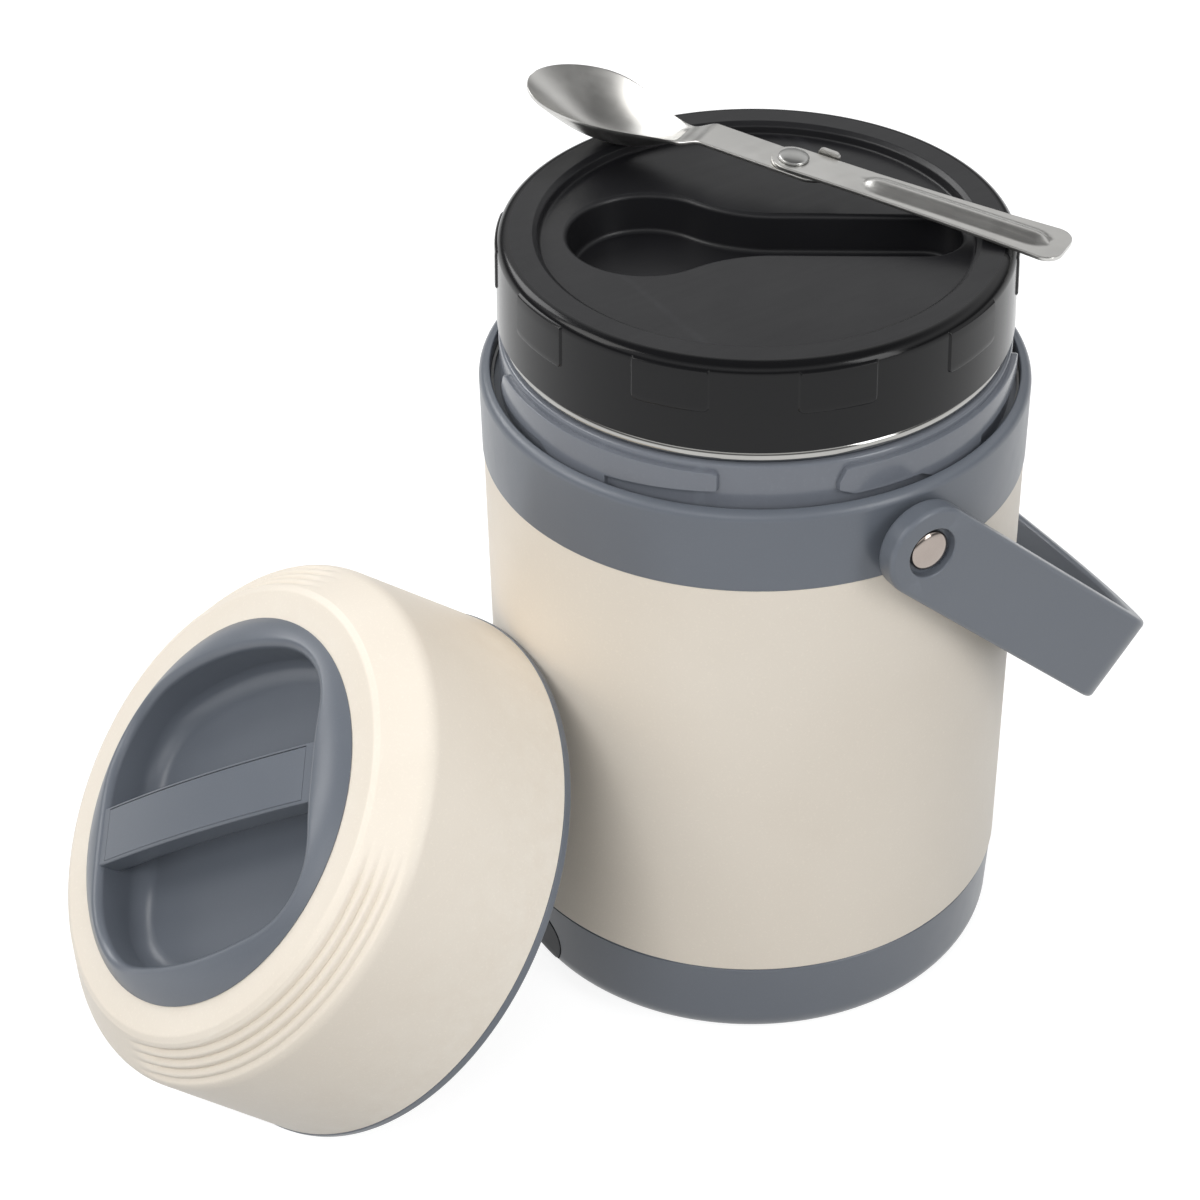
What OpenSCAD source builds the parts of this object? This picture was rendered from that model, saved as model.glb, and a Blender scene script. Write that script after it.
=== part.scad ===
// Electric lunch jar: a heated well in a tall insulated body, a lift-out food bowl with its own lid,
// a folding spoon laid across that lid, a swinging bail and a twist-on outer lid that leans on the body.
// The origin is on the jar's axis at the table, and the bail turns about an axis along X.

/* [Body] */
// Outer radius of the body just above the base ring
body_low_r = 73.7; // [68:0.1:80]
// Outer radius of the body just below the collar
body_top_r = 75.3; // [70:0.1:81]
// Height of the body between base ring and collar
body_h = 134; // [100:1:180]
// Wall of the outer shell
body_wall = 2.4; // [1.8:0.1:3]
// Foam between the outer shell and the heated well
foam_gap = 0.6; // [0.3:0.1:1]

/* [Base] */
// Height of the base ring's upper edge above the table
base_h = 27.6; // [24:0.1:36]
// Radius of the rounding at the foot of the base ring
foot_round = 9; // [8:0.5:11]
// How far the base ring narrows from its upper edge to the rounding
base_taper = 1; // [0:0.1:2]
// Wall of the base ring
base_wall = 2.6; // [2.2:0.1:3.2]
// Width of the V groove between base ring and body
reveal = 0.8; // [0.3:0.1:1.2]
// Thickness of the non-slip pad
pad_t = 1.6; // [1:0.1:3]
// How far the pad stands below the base ring
pad_proud = 0.4; // [0.2:0.1:0.8]
// Thickness of the bottom cover
cover_t = 2.5; // [2:0.1:4]
// Radius of the circle of base screws
screw_circle_r = 55.5; // [54:0.5:57]
// Number of base screws
screw_count = 4; // [3:1:6]
// Radius of a base screw's shank
screw_r = 1.5; // [1:0.1:2]

/* [Collar and neck] */
// Height of the collar
collar_h = 24.6; // [22:0.1:32]
// Outer radius at the top of the collar
collar_r = 76; // [75.5:0.1:82]
// Radius of the rounding on the collar's shoulder
collar_round = 2.6; // [1:0.1:3]
// Outer radius of the neck
neck_r = 70.2; // [69.8:0.1:70.6]
// Height of the neck above the collar
neck_rise = 11.4; // [9:0.1:16]
// How far the locking ribs stand out of the neck
rib_proud = 1.6; // [0.8:0.1:1.8]
// Depth of the groove between neck and collar
groove_depth = 5.2; // [4:0.1:6]
// Wall between the groove and the outside of the collar
groove_wall = 3.2; // [2.6:0.1:3.4]
// Number of locking ribs
rib_count = 4; // [3:1:4]

/* [Food bowl] */
// Outer radius of the food bowl
bowl_r = 65.4; // [60:0.1:66]
// Sheet of the food bowl
bowl_wall = 0.8; // [0.5:0.1:1.2]
// Outer radius of the bowl's rim
rim_r = 69.4; // [68.8:0.1:69.8]
// Height of the bowl's rim
rim_h = 4; // [3:0.1:6]
// Radius of the bowl's lower corner
bowl_corner = 14; // [8:0.5:20]
// Gap between the bowl and the well around it
bowl_gap = 0.6; // [0.4:0.1:1]

/* [Heater] */
// Sheet of the well
well_wall = 0.6; // [0.4:0.1:1]
// Height of the well's floor above the table
well_floor_h = 42; // [40:0.5:48]
// Radius of the heater plate
plate_r = 56; // [56:0.5:60]
// Thickness of the heater plate
plate_t = 4; // [3:0.1:5]
// Radius of the heating element's loop
element_loop_r = 43; // [42:0.5:45]
// Width of the heating element
element_w = 6; // [5:0.1:7]
// Height of the heating element
element_t = 5; // [4:0.1:6]
// Radius of the thermostat's case
thermostat_r = 8.5; // [7:0.1:10]
// Length of the thermal fuse
fuse_len = 11; // [8:0.5:14]
// Radius of the leads inside the base
lead_r = 1.1; // [0.8:0.1:1.4]

/* [Inlet] */
// Direction of the power inlet round the base
inlet_az = -93; // [-110:1:-80]
// Height of the inlet's centre above the table
inlet_z = 12; // [11.6:0.1:12.6]
// Width of the inlet cover
flap_w = 27; // [25:0.5:32]
// Height of the inlet cover
flap_h = 16.4; // [15:0.1:17]
// Depth of the recess that the cover lies in
flap_depth = 1.5; // [1:0.1:1.8]
// Distance between the two inlet pins
pin_pitch = 8.6; // [7.6:0.1:9]
// Radius of an inlet pin
pin_r = 1.2; // [0.9:0.1:1.4]

/* [Bail] */
// Height of the bail's pivot below the collar's top
pivot_drop = 15; // [13.8:0.1:16]
// Distance from the jar's axis to the outer face of an arm
bail_half = 84.7; // [84.2:0.1:90]
// Thickness of the bail
bail_t = 6.5; // [5:0.1:7]
// Thickness of the washers behind the arms
washer_t = 1; // [0.6:0.1:3]
// Width of the bail
bail_w = 26.4; // [24:0.2:28]
// Distance from the pivot to the outside of the crossbar's middle
bail_reach = 122; // [121.5:0.5:140]
// Radius of the crossbar's outer curve
bail_bow_r = 137; // [120:1:160]
// Radius of the bail's outer corners
bail_corner = 12; // [8:0.5:16]
// How far the bail hangs below the horizontal
bail_hang = 42.9; // [42:0.1:43.2]
// Radius of the pivot pin's shank
pivot_r = 3.6; // [3:0.1:4.2]
// Radius of the pivot pin's domed head
cap_r = 5.8; // [5:0.1:6]
// Radius of the recess around the domed head
cap_recess_r = 7.2; // [6.6:0.1:8]

/* [Bowl lid] */
// Outer radius of the bowl lid at its lip
lip_r = 70; // [69.6:0.1:70.4]
// Height of the bowl lid
bowl_lid_h = 26.1; // [24:0.1:30]
// Outer radius of the skirt at its lower edge
skirt_r = 70.5; // [70:0.1:70.7]
// Wall of the bowl lid
bowl_lid_wall = 2.4; // [2:0.1:2.6]
// Radius of the rounding on the lip
lip_round = 3.4; // [2:0.1:4]
// Radius of the sunk dish
dish_r = 58.5; // [56:0.5:60]
// Depth of the sunk dish
dish_depth = 3.4; // [2:0.1:4]
// Depth of the spoon recess below the dish
recess_depth = 11.5; // [8:0.5:12]
// Radius of the recess's wide end
recess_bowl_r = 21.3; // [18:0.1:23]
// Radius of the recess's slot end
recess_slot_r = 10.2; // [8:0.1:11]
// Distance from the lid's centre to the centre of the wide end
recess_bowl_at = 29.7; // [26:0.1:32]
// Distance from the lid's centre to the centre of the slot's end
recess_slot_at = 45.2; // [40:0.1:46]
// Radius of the waist between wide end and slot
recess_waist_r = 38; // [20:1:50]
// Direction of the slot round the lid
recess_az = 56.7; // [40:0.1:70]
// How far the recess's middle line misses the lid's centre
recess_aside = 2.4; // [0:0.1:3]
// Number of grip pads round the skirt
grip_pads = 10; // [8:1:12]
// How far a grip pad stands out
grip_pad_proud = 0.7; // [0.3:0.05:0.9]

/* [Spoon] */
// Distance from the rivet to the spoon's tip
spoon_reach = 82; // [70:0.5:88]
// Distance from the rivet to the end of the handle
handle_reach = 80; // [70:0.5:88]
// Width of the spoon's shank
shank_w = 11.8; // [10:0.1:13]
// Greatest width of the spoon's bowl
spoon_w = 29.5; // [26:0.5:34]
// Depth of the spoon's bowl
spoon_depth = 8; // [5:0.1:9]
// Sheet of the spoon
spoon_t = 1.2; // [0.9:0.1:1.6]
// Width of the handle at the rivet
handle_w = 12.2; // [11:0.1:14.6]
// Width of the handle near its end
handle_tip_w = 16.4; // [14:0.1:18]
// How far the open handle turns out of line with the spoon
handle_yaw = 2; // [0:0.5:4]
// Direction of the spoon's handle round the jar
spoon_az = 29.6; // [20:0.1:40]
// Rivet's place along X
rivet_x = -14.2; // [-22:0.1:-5]
// Rivet's place along Y
rivet_y = 21; // [12:0.1:30]
// Radius of the rivet's shank
rivet_r = 2; // [1.5:0.1:2.5]

/* [Outer lid] */
// Outer radius of the lid's rim
lid_rim_r = 76.5; // [76:0.1:80]
// Height of the lid from its mouth to its flat top
lid_h = 60; // [58:0.1:70]
// Height of the grey rim
lid_rim_h = 2.6; // [2:0.1:5]
// Radius at the lid's shoulder
shoulder_r = 74.6; // [73.6:0.1:76]
// Height of the lid's shoulder above its mouth
shoulder_h = 49.9; // [47:0.1:56]
// Radius of the lid's flat top
lid_top_r = 64.2; // [60:0.1:66]
// Wall of the lid
lid_wall = 2.4; // [1.8:0.1:2.6]
// Number of grip grooves below the flat top
groove_count = 4; // [2:1:5]
// Width of the arc that the grip grooves run along
groove_arc = 102; // [60:1:150]
// Radius of the handle cup's flange
cup_r = 54.8; // [52:0.1:56]
// How far the cup's domed flange rises from its outer edge
cup_dome = 4.5; // [3.5:0.1:6]
// Depth of the handle cup below the flange's crest
cup_depth = 17; // [14:0.1:18]
// Length of the cup's opening along the grip bar
cup_opening_l = 86; // [76:0.5:87]
// Width of the cup's opening across the grip bar
cup_opening_w = 87.4; // [78:0.2:88.6]
// Radius of the opening's two long sides
cup_side_r = 95; // [60:1:140]
// Width of the grip bar
bar_w = 17; // [14:0.5:20]
// Height of the grip bar's solid
bar_t = 9; // [6:0.1:9.6]
// How far the grip bar's middle arches above its ends
bar_arch = 2; // [0:0.1:3]
// Direction of the grip bar in the lid
bar_az = -41.6; // [-60:0.1:-30]
// How far the lid leans from lying flat
lid_lean = 49.7; // [40:0.1:55]
// Direction in which the lid faces
lid_az = -95.5; // [-110:1:-80]
// How far the lid's axis misses the jar's axis
lid_aside = 11; // [0:0.5:20]

/* [Hidden] */

$fn = 96;
eps = 0.01;

// clearances
fit = 0.1;
flat_gap = 0.2;
run_gap = 0.3;
bore_gap = 0.05;

// colours
cream = [0.93, 0.87, 0.78];
slate = [0.37, 0.39, 0.43];
charcoal = [0.13, 0.13, 0.14];
steel = [0.72, 0.72, 0.73];
foam = [0.95, 0.95, 0.92];
rubber = [0.25, 0.26, 0.28];
copper = [0.75, 0.5, 0.3];

// heights of the jar's joints above the table
collar_z = base_h + body_h;
collar_top = collar_z + collar_h;
neck_top = collar_top + neck_rise;
band_top = neck_top + rim_h;
lip_top = band_top + bowl_lid_h;
dish_z = lip_top - dish_depth;

// slope of the body's side, as radius gained for each mm of height
body_draft = (body_top_r - body_low_r) / body_h;
function body_r(z) = body_low_r + body_draft * (z - base_h);

// the arc of radius r about c from angle a0 to a1
function arc(c, r, a0, a1, n = 6) =
    [for (i = [0:n]) c + r * [cos(a0 + (a1 - a0) * i / n), sin(a0 + (a1 - a0) * i / n)]];

// a copy at each of n even turns about Z
module around(n, first = 0) {
    for (i = [0:n - 1])
        rotate([0, 0, first + i * 360 / n])
            children();
}

module tube(r_out, r_in, h) {
    rotate_extrude()
        translate([r_in, 0])
            square([r_out - r_in, h]);
}

// a slab with round ends, lying across X, of width w, height h and thickness t
module pill(w, h, t) {
    rotate([90, 0, 90])
        linear_extrude(t)
            pill_outline(w, h);
}

module pill_outline(w, h) {
    square([w - h, h], center = true);
    for (side = [-1, 1])
        translate([side * (w - h) / 2, 0])
            circle(d = h);
}

// body

spigot_h = 8;
spigot_wall = 2;

module outer_shell() {
    color(cream)
        rotate_extrude()
            polygon([
                [body_low_r - body_wall, base_h],
                [body_low_r - 0.4, base_h],
                [body_low_r, base_h + 0.4],
                [body_top_r, collar_z],
                [body_top_r - body_wall, collar_z]]);
}

// base

base_low = pad_proud;
base_top_r = body_low_r - 0.4;
foot_c = [base_top_r - base_taper - foot_round, base_low + foot_round];
ledge_z = pad_t + cover_t;
ledge_t = 2.5;
// where the rounding's inner side meets the ledge's upper face
foot_in_a = asin((foot_c[1] - ledge_z - ledge_t) / (foot_round - base_wall));
ledge_r = 47.5;
cover_r = 61;
pillar_r = 3.5;
pillar_circle_r = plate_r - pillar_r - 0.5;
plate_z = well_floor_h - well_wall - plate_t;
boss_r = 4;
boss_h = 10;
head_r = 2.8;
head_h = 1.4;
base_spigot_r = body_low_r - body_wall - flat_gap;

// the base ring's outer side from foot to upper edge, moved outwards by d
function base_side(d) = concat(
    arc(foot_c, foot_round + d, -90, 0, 8),
    [[base_top_r + d, base_h - reveal]]);

module base_ring_solid() {
    rotate_extrude()
        polygon(concat(
            [[cover_r, base_low]],
            base_side(0),
            [[base_top_r - reveal, base_h],
             [base_spigot_r, base_h],
             [base_spigot_r, base_h + spigot_h],
             [base_spigot_r - spigot_wall, base_h + spigot_h],
             [base_spigot_r - spigot_wall, base_h - 1],
             [base_top_r - base_wall, base_h - 4]],
            arc(foot_c, foot_round - base_wall, 0, -foot_in_a),
            [[ledge_r, ledge_z + ledge_t],
             [ledge_r, ledge_z],
             [cover_r, ledge_z]]));
    around(screw_count, 45)
        translate([screw_circle_r, 0, ledge_z])
            cylinder(r = boss_r, h = boss_h);
    around(3, 90)
        translate([pillar_circle_r, 0, ledge_z])
            cylinder(r = pillar_r, h = plate_z - ledge_z);
}

// the space of the inlet cover, with d of room all round
module flap_space(d) {
    intersection() {
        rotate_extrude()
            polygon(concat(
                base_side(d > 0 ? 4 : run_gap),
                [for (i = [len(base_side(0)) - 1:-1:0]) base_side(-flap_depth + (d > 0 ? 0 : flat_gap))[i]]));
        translate([0, 0, inlet_z])
            rotate([0, 0, inlet_az])
                translate([foot_c[0], 0, 0])
                    pill(flap_w + 2 * d, flap_h + 2 * d, 20);
    }
}

module at_inlet() {
    rotate([0, 0, inlet_az])
        translate([0, 0, inlet_z])
            children();
}

module base_ring() {
    color(slate)
        difference() {
            base_ring_solid();
            flap_space(flap_gap);
            at_inlet()
                translate([foot_c[0], 0, 0])
                    pill(nose_w + 2 * flat_gap, nose_h + 2 * flat_gap, 20);
            around(screw_count, 45)
                translate([screw_circle_r, 0, ledge_z - eps])
                    cylinder(r = screw_r + bore_gap, h = boss_h - 2);
        }
}

module bottom_cover() {
    color(charcoal)
        difference() {
            translate([0, 0, pad_t])
                cylinder(r = cover_r - flat_gap, h = cover_t);
            around(screw_count, 45)
                translate([screw_circle_r, 0, pad_t - eps]) {
                    cylinder(r = screw_r + bore_gap, h = cover_t + 2 * eps);
                    cylinder(r = head_r + flat_gap, h = head_h + eps);
                }
        }
}

module base_screws() {
    color(steel)
        around(screw_count, 45)
            translate([screw_circle_r, 0, pad_t])
                difference() {
                    union() {
                        cylinder(r = screw_r, h = cover_t + boss_h - 3);
                        cylinder(r = head_r, h = head_h);
                    }
                    for (a = [0, 90])
                        rotate([0, 0, a])
                            translate([-1.8, -0.35, -eps])
                                cube([3.6, 0.7, 0.8]);
                }
}

module base_pad() {
    color(rubber)
        cylinder(r = cover_r - 2, h = pad_t);
}

// collar and neck

bore_r = bowl_r + bowl_gap + well_wall + flat_gap;
ledge_top = neck_top - 7.6;
seat_r = bore_r + 1;
web_t = 3;
groove_z = collar_top - groove_depth;
web_z = groove_z - web_t;
collar_low_r = body_top_r + 0.3;
collar_in_r = body_top_r - body_wall - flat_gap - fit;
groove_r = collar_r - groove_wall;
rib_top = neck_top - 2;
pivot_z = collar_top - pivot_drop;
boss_out = bail_half - bail_t - run_gap - washer_t;
pivot_boss_r = 8;
pivot_in = collar_in_r - 3.5;

module collar_body() {
    rotate_extrude()
        polygon(concat(
            [[collar_in_r, collar_z],
             [collar_low_r, collar_z],
             [collar_r, collar_top - collar_round]],
            arc([collar_r - collar_round, collar_top - collar_round], collar_round, 0, 90),
            [[groove_r, collar_top],
             [groove_r, groove_z],
             [neck_r, groove_z]],
            arc([neck_r - 1, neck_top - 1], 1, 0, 90, 4),
            [[seat_r + 0.6, neck_top],
             [seat_r, neck_top - 0.6],
             [seat_r, ledge_top],
             [bore_r, ledge_top],
             [bore_r, web_z],
             [collar_in_r, web_z],
             [collar_in_r, collar_z + 3],
             [collar_in_r - spigot_wall, collar_z + 2],
             [collar_in_r - spigot_wall, collar_z - spigot_h],
             [collar_in_r, collar_z - spigot_h]]));
}

// the ribs' outline unrolled on the neck, from the ramp to the thin end
rib_ramp = -16;
rib_foot = 13;
rib_step = 23.3;
rib_end = 49;
rib_low = collar_top + 0.7;
rib_thin_low = collar_top + 1.1;
rib_thin_high = collar_top + 3.6;
function on_neck(a, z) = [(neck_r + rib_proud) * sin(a), z];

module locking_rib() {
    mid = (rib_ramp + rib_end) / 2;
    rotate([0, 0, mid])
        rotate([90, 0, 90])
            linear_extrude(neck_r + rib_proud + 5)
                polygon([
                    on_neck(rib_ramp - mid, rib_low + 2.1),
                    on_neck(rib_ramp + 2 - mid, rib_top),
                    on_neck(rib_end - 1 - mid, rib_top),
                    on_neck(rib_end - mid, rib_top - 1),
                    on_neck(rib_end - mid, rib_thin_high + 1),
                    on_neck(rib_end - 1 - mid, rib_thin_high),
                    on_neck(rib_step - mid, rib_thin_low),
                    on_neck(rib_step - mid, groove_z - 1),
                    on_neck(rib_foot - mid, groove_z - 1),
                    on_neck(rib_foot - 9 - mid, rib_low),
                    on_neck(rib_ramp + 4 - mid, rib_low)]);
}

module locking_ribs() {
    intersection() {
        translate([0, 0, groove_z - eps])
            tube(neck_r + rib_proud, neck_r - 1, rib_top - groove_z + eps);
        around(rib_count)
            locking_rib();
    }
}

// a copy on each side of the jar, with +X pointing outwards at the pivot's height
module at_pivots() {
    for (side = [0, 180])
        rotate([0, 0, side])
            translate([0, 0, pivot_z])
                rotate([0, 90, 0])
                    children();
}

module collar_ring() {
    color(slate)
        difference() {
            union() {
                collar_body();
                locking_ribs();
                at_pivots()
                    translate([0, 0, pivot_in])
                        cylinder(r = pivot_boss_r, h = boss_out - pivot_in);
            }
            at_pivots()
                translate([0, 0, pivot_in - 1])
                    cylinder(r = pivot_r + bore_gap, h = boss_out - pivot_in + 2);
        }
}

module neck_gasket() {
    color(rubber)
        translate([0, 0, groove_z])
            rotate_extrude()
                translate([(neck_r + rib_proud + groove_r) / 2 - 0.35, 0])
                    square([0.7, 1.6]);
}

// heated well and food bowl

well_r = bowl_r + bowl_gap + well_wall;
bowl_low = well_floor_h + 0.5;

// a round-cornered cup of outer radius r from height z0 up to z1, with corner radius c
function cup_side(r, c, z0, z1) = concat([[0, z0]], arc([r - c, z0 + c], c, -90, 0, 8), [[r, z1]]);

module well_liner() {
    color(steel)
        rotate_extrude()
            difference() {
                union() {
                    polygon(concat(cup_side(well_r, bowl_corner + bowl_gap + well_wall,
                        well_floor_h - well_wall, ledge_top + well_wall), [[0, ledge_top + well_wall]]));
                    translate([well_r - well_wall, ledge_top])
                        square([seat_r - flat_gap - well_r + well_wall, well_wall]);
                }
                polygon(concat(cup_side(well_r - well_wall, bowl_corner + bowl_gap,
                    well_floor_h, ledge_top + 1), [[0, ledge_top + 1]]));
            }
}

module food_bowl() {
    color(steel)
        rotate_extrude()
            difference() {
                polygon(concat(
                    cup_side(bowl_r, bowl_corner, bowl_low, neck_top),
                    [[rim_r - 0.5, neck_top],
                     [rim_r, neck_top + 0.5],
                     [rim_r, band_top - 1],
                     [rim_r - 1, band_top],
                     [0, band_top]]));
                polygon(concat(
                    cup_side(bowl_r - bowl_wall, bowl_corner - bowl_wall, bowl_low + bowl_wall, band_top + 1),
                    [[0, band_top + 1]]));
            }
}

module insulation_sleeve() {
    sleeve_top = collar_z - spigot_h - foam_gap;
    color(foam)
        rotate_extrude()
            polygon([
                [well_r + foam_gap, well_floor_h],
                [body_r(well_floor_h) - body_wall - foam_gap, well_floor_h],
                [body_r(sleeve_top) - body_wall - foam_gap, sleeve_top],
                [well_r + foam_gap, sleeve_top]]);
}

// heater

stud_circle_r = 34;
stud_r = 2;
bracket_t = 1.2;
bracket_z = plate_z - element_t - bracket_t;
nut_h = 3.2;
element_gap_angle = 50;
terminal_r = 1.8;
terminal_z = bracket_z - 8;

module heater_plate() {
    color(steel) {
        translate([0, 0, plate_z])
            cylinder(r = plate_r, h = plate_t);
        around(3, inlet_az + 60)
            translate([stud_circle_r, 0, bracket_z - nut_h - 1.5])
                cylinder(r = stud_r, h = plate_z - bracket_z + nut_h + 1.5 + eps);
    }
}

module heating_element() {
    color(steel)
        rotate([0, 0, inlet_az + element_gap_angle / 2]) {
            rotate_extrude(angle = 360 - element_gap_angle)
                translate([element_loop_r, plate_z - element_t])
                    polygon([
                        [-element_w / 2, element_t],
                        [-element_w / 2, element_t / 3],
                        [-element_w / 4, 0],
                        [element_w / 4, 0],
                        [element_w / 2, element_t / 3],
                        [element_w / 2, element_t]]);
            for (a = [3, 357 - element_gap_angle])
                rotate([0, 0, a])
                    translate([element_loop_r, 0, terminal_z])
                        cylinder(r = terminal_r, h = plate_z - 1 - terminal_z);
        }
}

module heater_bracket() {
    color(steel)
        difference() {
            rotate([0, 0, inlet_az + element_gap_angle / 2 + 12])
                rotate_extrude(angle = 360 - element_gap_angle - 24)
                    translate([stud_circle_r - 5, bracket_z])
                        square([element_loop_r + element_w / 2 - stud_circle_r + 5, bracket_t]);
            around(3, inlet_az + 60)
                translate([stud_circle_r, 0, bracket_z - 1])
                    cylinder(r = stud_r + flat_gap, h = bracket_t + 2);
        }
}

module heater_nuts() {
    color(steel)
        around(3, inlet_az + 60)
            translate([stud_circle_r, 0, bracket_z - nut_h])
                difference() {
                    cylinder(r = 4, h = nut_h, $fn = 6);
                    translate([0, 0, -1])
                        cylinder(r = stud_r + bore_gap, h = nut_h + 2);
                }
}

thermostat_h = 7;
tab_h = 7;
tab_at = 4.5;
thermostat_z = plate_z - thermostat_h;

module thermostat() {
    color(charcoal)
        rotate([0, 0, inlet_az]) {
            translate([0, 0, thermostat_z])
                cylinder(r = thermostat_r, h = thermostat_h);
            for (side = [-1, 1])
                translate([-0.4, side * tab_at - 2, thermostat_z - tab_h])
                    cube([0.8, 4, tab_h + eps]);
        }
}

fuse_r = 2;
fuse_at = [-20, 8];
fuse_z = plate_z - fuse_r - run_gap;

module thermal_fuse() {
    color(copper)
        at_fuse() {
            cylinder(r = fuse_r, h = fuse_len, center = true);
            cylinder(r = 0.5, h = fuse_len + 6, center = true);
        }
}

module at_fuse() {
    rotate([0, 0, inlet_az])
        translate([fuse_at[0], fuse_at[1], fuse_z])
            rotate([90, 0, 0])
                children();
}

// leads inside the base

// the point at share t between b and c of the smooth curve through a, b, c, d
function smooth(a, b, c, d, t) =
    ((2 * b) + (c - a) * t + (2 * a - 5 * b + 4 * c - d) * t * t + (3 * b - a - 3 * c + d) * t * t * t) / 2;

function route(p, n = 4) = concat(
    [for (i = [0:len(p) - 2], k = [0:n - 1])
        smooth(p[max(i - 1, 0)], p[i], p[i + 1], p[min(i + 2, len(p) - 1)], k / n)],
    [p[len(p) - 1]]);

function unit(v) = v / norm(v);

// the ring of the lead's surface at point q running along d
function ring_at(q, d, r, sides) =
    let (s = unit(cross(d, abs(d[2]) < 0.8 ? [0, 0, 1] : [1, 0, 0])), t = unit(cross(s, d)))
        [for (k = [0:sides - 1]) q + r * (cos(360 * k / sides) * s + sin(360 * k / sides) * t)];

// a lead of radius r along the route's points
module lead(points, r, sides = 8) {
    q = route(points);
    n = len(q);
    rings = [for (i = [0:n - 1])
        each ring_at(q[i], unit(q[min(i + 1, n - 1)] - q[max(i - 1, 0)]), r, sides)];
    polyhedron(rings, concat(
        [[for (k = [sides - 1:-1:0]) k]],
        [for (i = [0:n - 2], k = [0:sides - 1])
            [i * sides + k, i * sides + (k + 1) % sides, (i + 1) * sides + (k + 1) % sides, (i + 1) * sides + k]],
        [[for (k = [0:sides - 1]) (n - 1) * sides + k]]));
}

// places of the leads' ends, with +X towards the inlet
socket_back = 47;
pin_tail = socket_back - 3;
element_end = element_loop_r * [cos(element_gap_angle / 2 + 3), sin(element_gap_angle / 2 + 3)];
tail_z = inlet_z;
// how far a lead's end stays from what it is joined to
lead_gap = 0.55;

module live_lead() {
    color("firebrick")
        rotate([0, 0, inlet_az])
            lead([
                [pin_tail - lead_gap, pin_pitch / 2, tail_z],
                [pin_tail - 8, pin_pitch / 2 + 1.7, tail_z],
                [pin_tail - 20, pin_pitch / 2 + 4.7, tail_z + 1],
                [thermostat_r + 1.5, tab_at + 1.5, tail_z + 3],
                [1, tab_at, thermostat_z - tab_h - 4],
                [0, tab_at, thermostat_z - tab_h - lead_gap]], lead_r);
}

module neutral_lead() {
    color("royalblue")
        rotate([0, 0, inlet_az])
            lead([
                [pin_tail - lead_gap, -pin_pitch / 2, tail_z],
                [pin_tail - 7, -pin_pitch / 2 - 2.7, tail_z],
                [pin_tail - 10, -element_end[1] + 3, tail_z + 2],
                [element_end[0], -element_end[1], terminal_z - 5],
                [element_end[0], -element_end[1], terminal_z - lead_gap]], lead_r);
}

module link_lead() {
    color("firebrick")
        rotate([0, 0, inlet_az]) {
            lead([
                [0, -tab_at, thermostat_z - tab_h - lead_gap],
                [0, -tab_at, thermostat_z - tab_h - 4],
                [-10, -5, 17],
                [fuse_at[0], -3, 22],
                [fuse_at[0], fuse_at[1] - fuse_len / 2 - 6, fuse_z - 2],
                [fuse_at[0], fuse_at[1] - fuse_len / 2 - 3 - lead_gap, fuse_z]], lead_r);
            lead([
                [fuse_at[0], fuse_at[1] + fuse_len / 2 + 3 + lead_gap, fuse_z],
                [fuse_at[0], fuse_at[1] + fuse_len / 2 + 5.5, fuse_z - 2.5],
                [-12, 26, 20],
                [12, 32, 16],
                [element_end[0], element_end[1], terminal_z - 5],
                [element_end[0], element_end[1], terminal_z - lead_gap]], lead_r);
        }
}

// inlet

flap_gap = 0.4;
nose_w = 17;
nose_h = 9;
socket_w = 20;
socket_h = 2 * (inlet_z - ledge_z - ledge_t);
flange_front = sqrt(pow(foot_c[0] + foot_round - base_wall, 2) - pow(socket_w / 2, 2)) - 0.9;
nose_front = foot_c[0] + foot_round - 2 * flat_gap - flap_depth - 0.2;
cavity_w = 14.4;
cavity_h = 6.6;
cavity_depth = 12;
flap_boss_w = 12.4;
flap_boss_h = 4.6;

module inlet_socket() {
    color(charcoal)
        at_inlet()
            difference() {
                union() {
                    translate([socket_back, -socket_w / 2, -socket_h / 2])
                        cube([flange_front - socket_back, socket_w, socket_h]);
                    translate([flange_front - 1, 0, 0])
                        pill(nose_w, nose_h, nose_front - flange_front + 1);
                }
                translate([nose_front - cavity_depth, 0, 0])
                    pill(cavity_w, cavity_h, cavity_depth + 1);
                for (side = [-1, 1])
                    translate([socket_back - 1, side * pin_pitch / 2, 0])
                        rotate([0, 90, 0])
                            cylinder(r = pin_r + bore_gap, h = 20);
            }
}

module inlet_pins() {
    color(steel)
        at_inlet()
            for (side = [-1, 1])
                translate([pin_tail, side * pin_pitch / 2, 0])
                    rotate([0, 90, 0])
                        cylinder(r = pin_r, h = nose_front - 3 - pin_tail);
}

module inlet_flap() {
    color(rubber) {
        flap_space(0);
        at_inlet()
            translate([nose_front - 0.6, 0, 0])
                pill(flap_boss_w, flap_boss_h, 2.4);
    }
}

// bail

bail_in = bail_half - bail_t;
bail_bow_c = bail_reach - bail_bow_r;
// centre of an outer corner, and its direction from the bow's centre
corner_c = [bail_half - bail_corner,
    bail_bow_c + sqrt(pow(bail_bow_r - bail_corner, 2) - pow(bail_half - bail_corner, 2))];
corner_a = atan2(corner_c[1] - bail_bow_c, corner_c[0]);
eye_r = bail_w / 2;
cap_floor = bail_half - 2.6;

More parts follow.
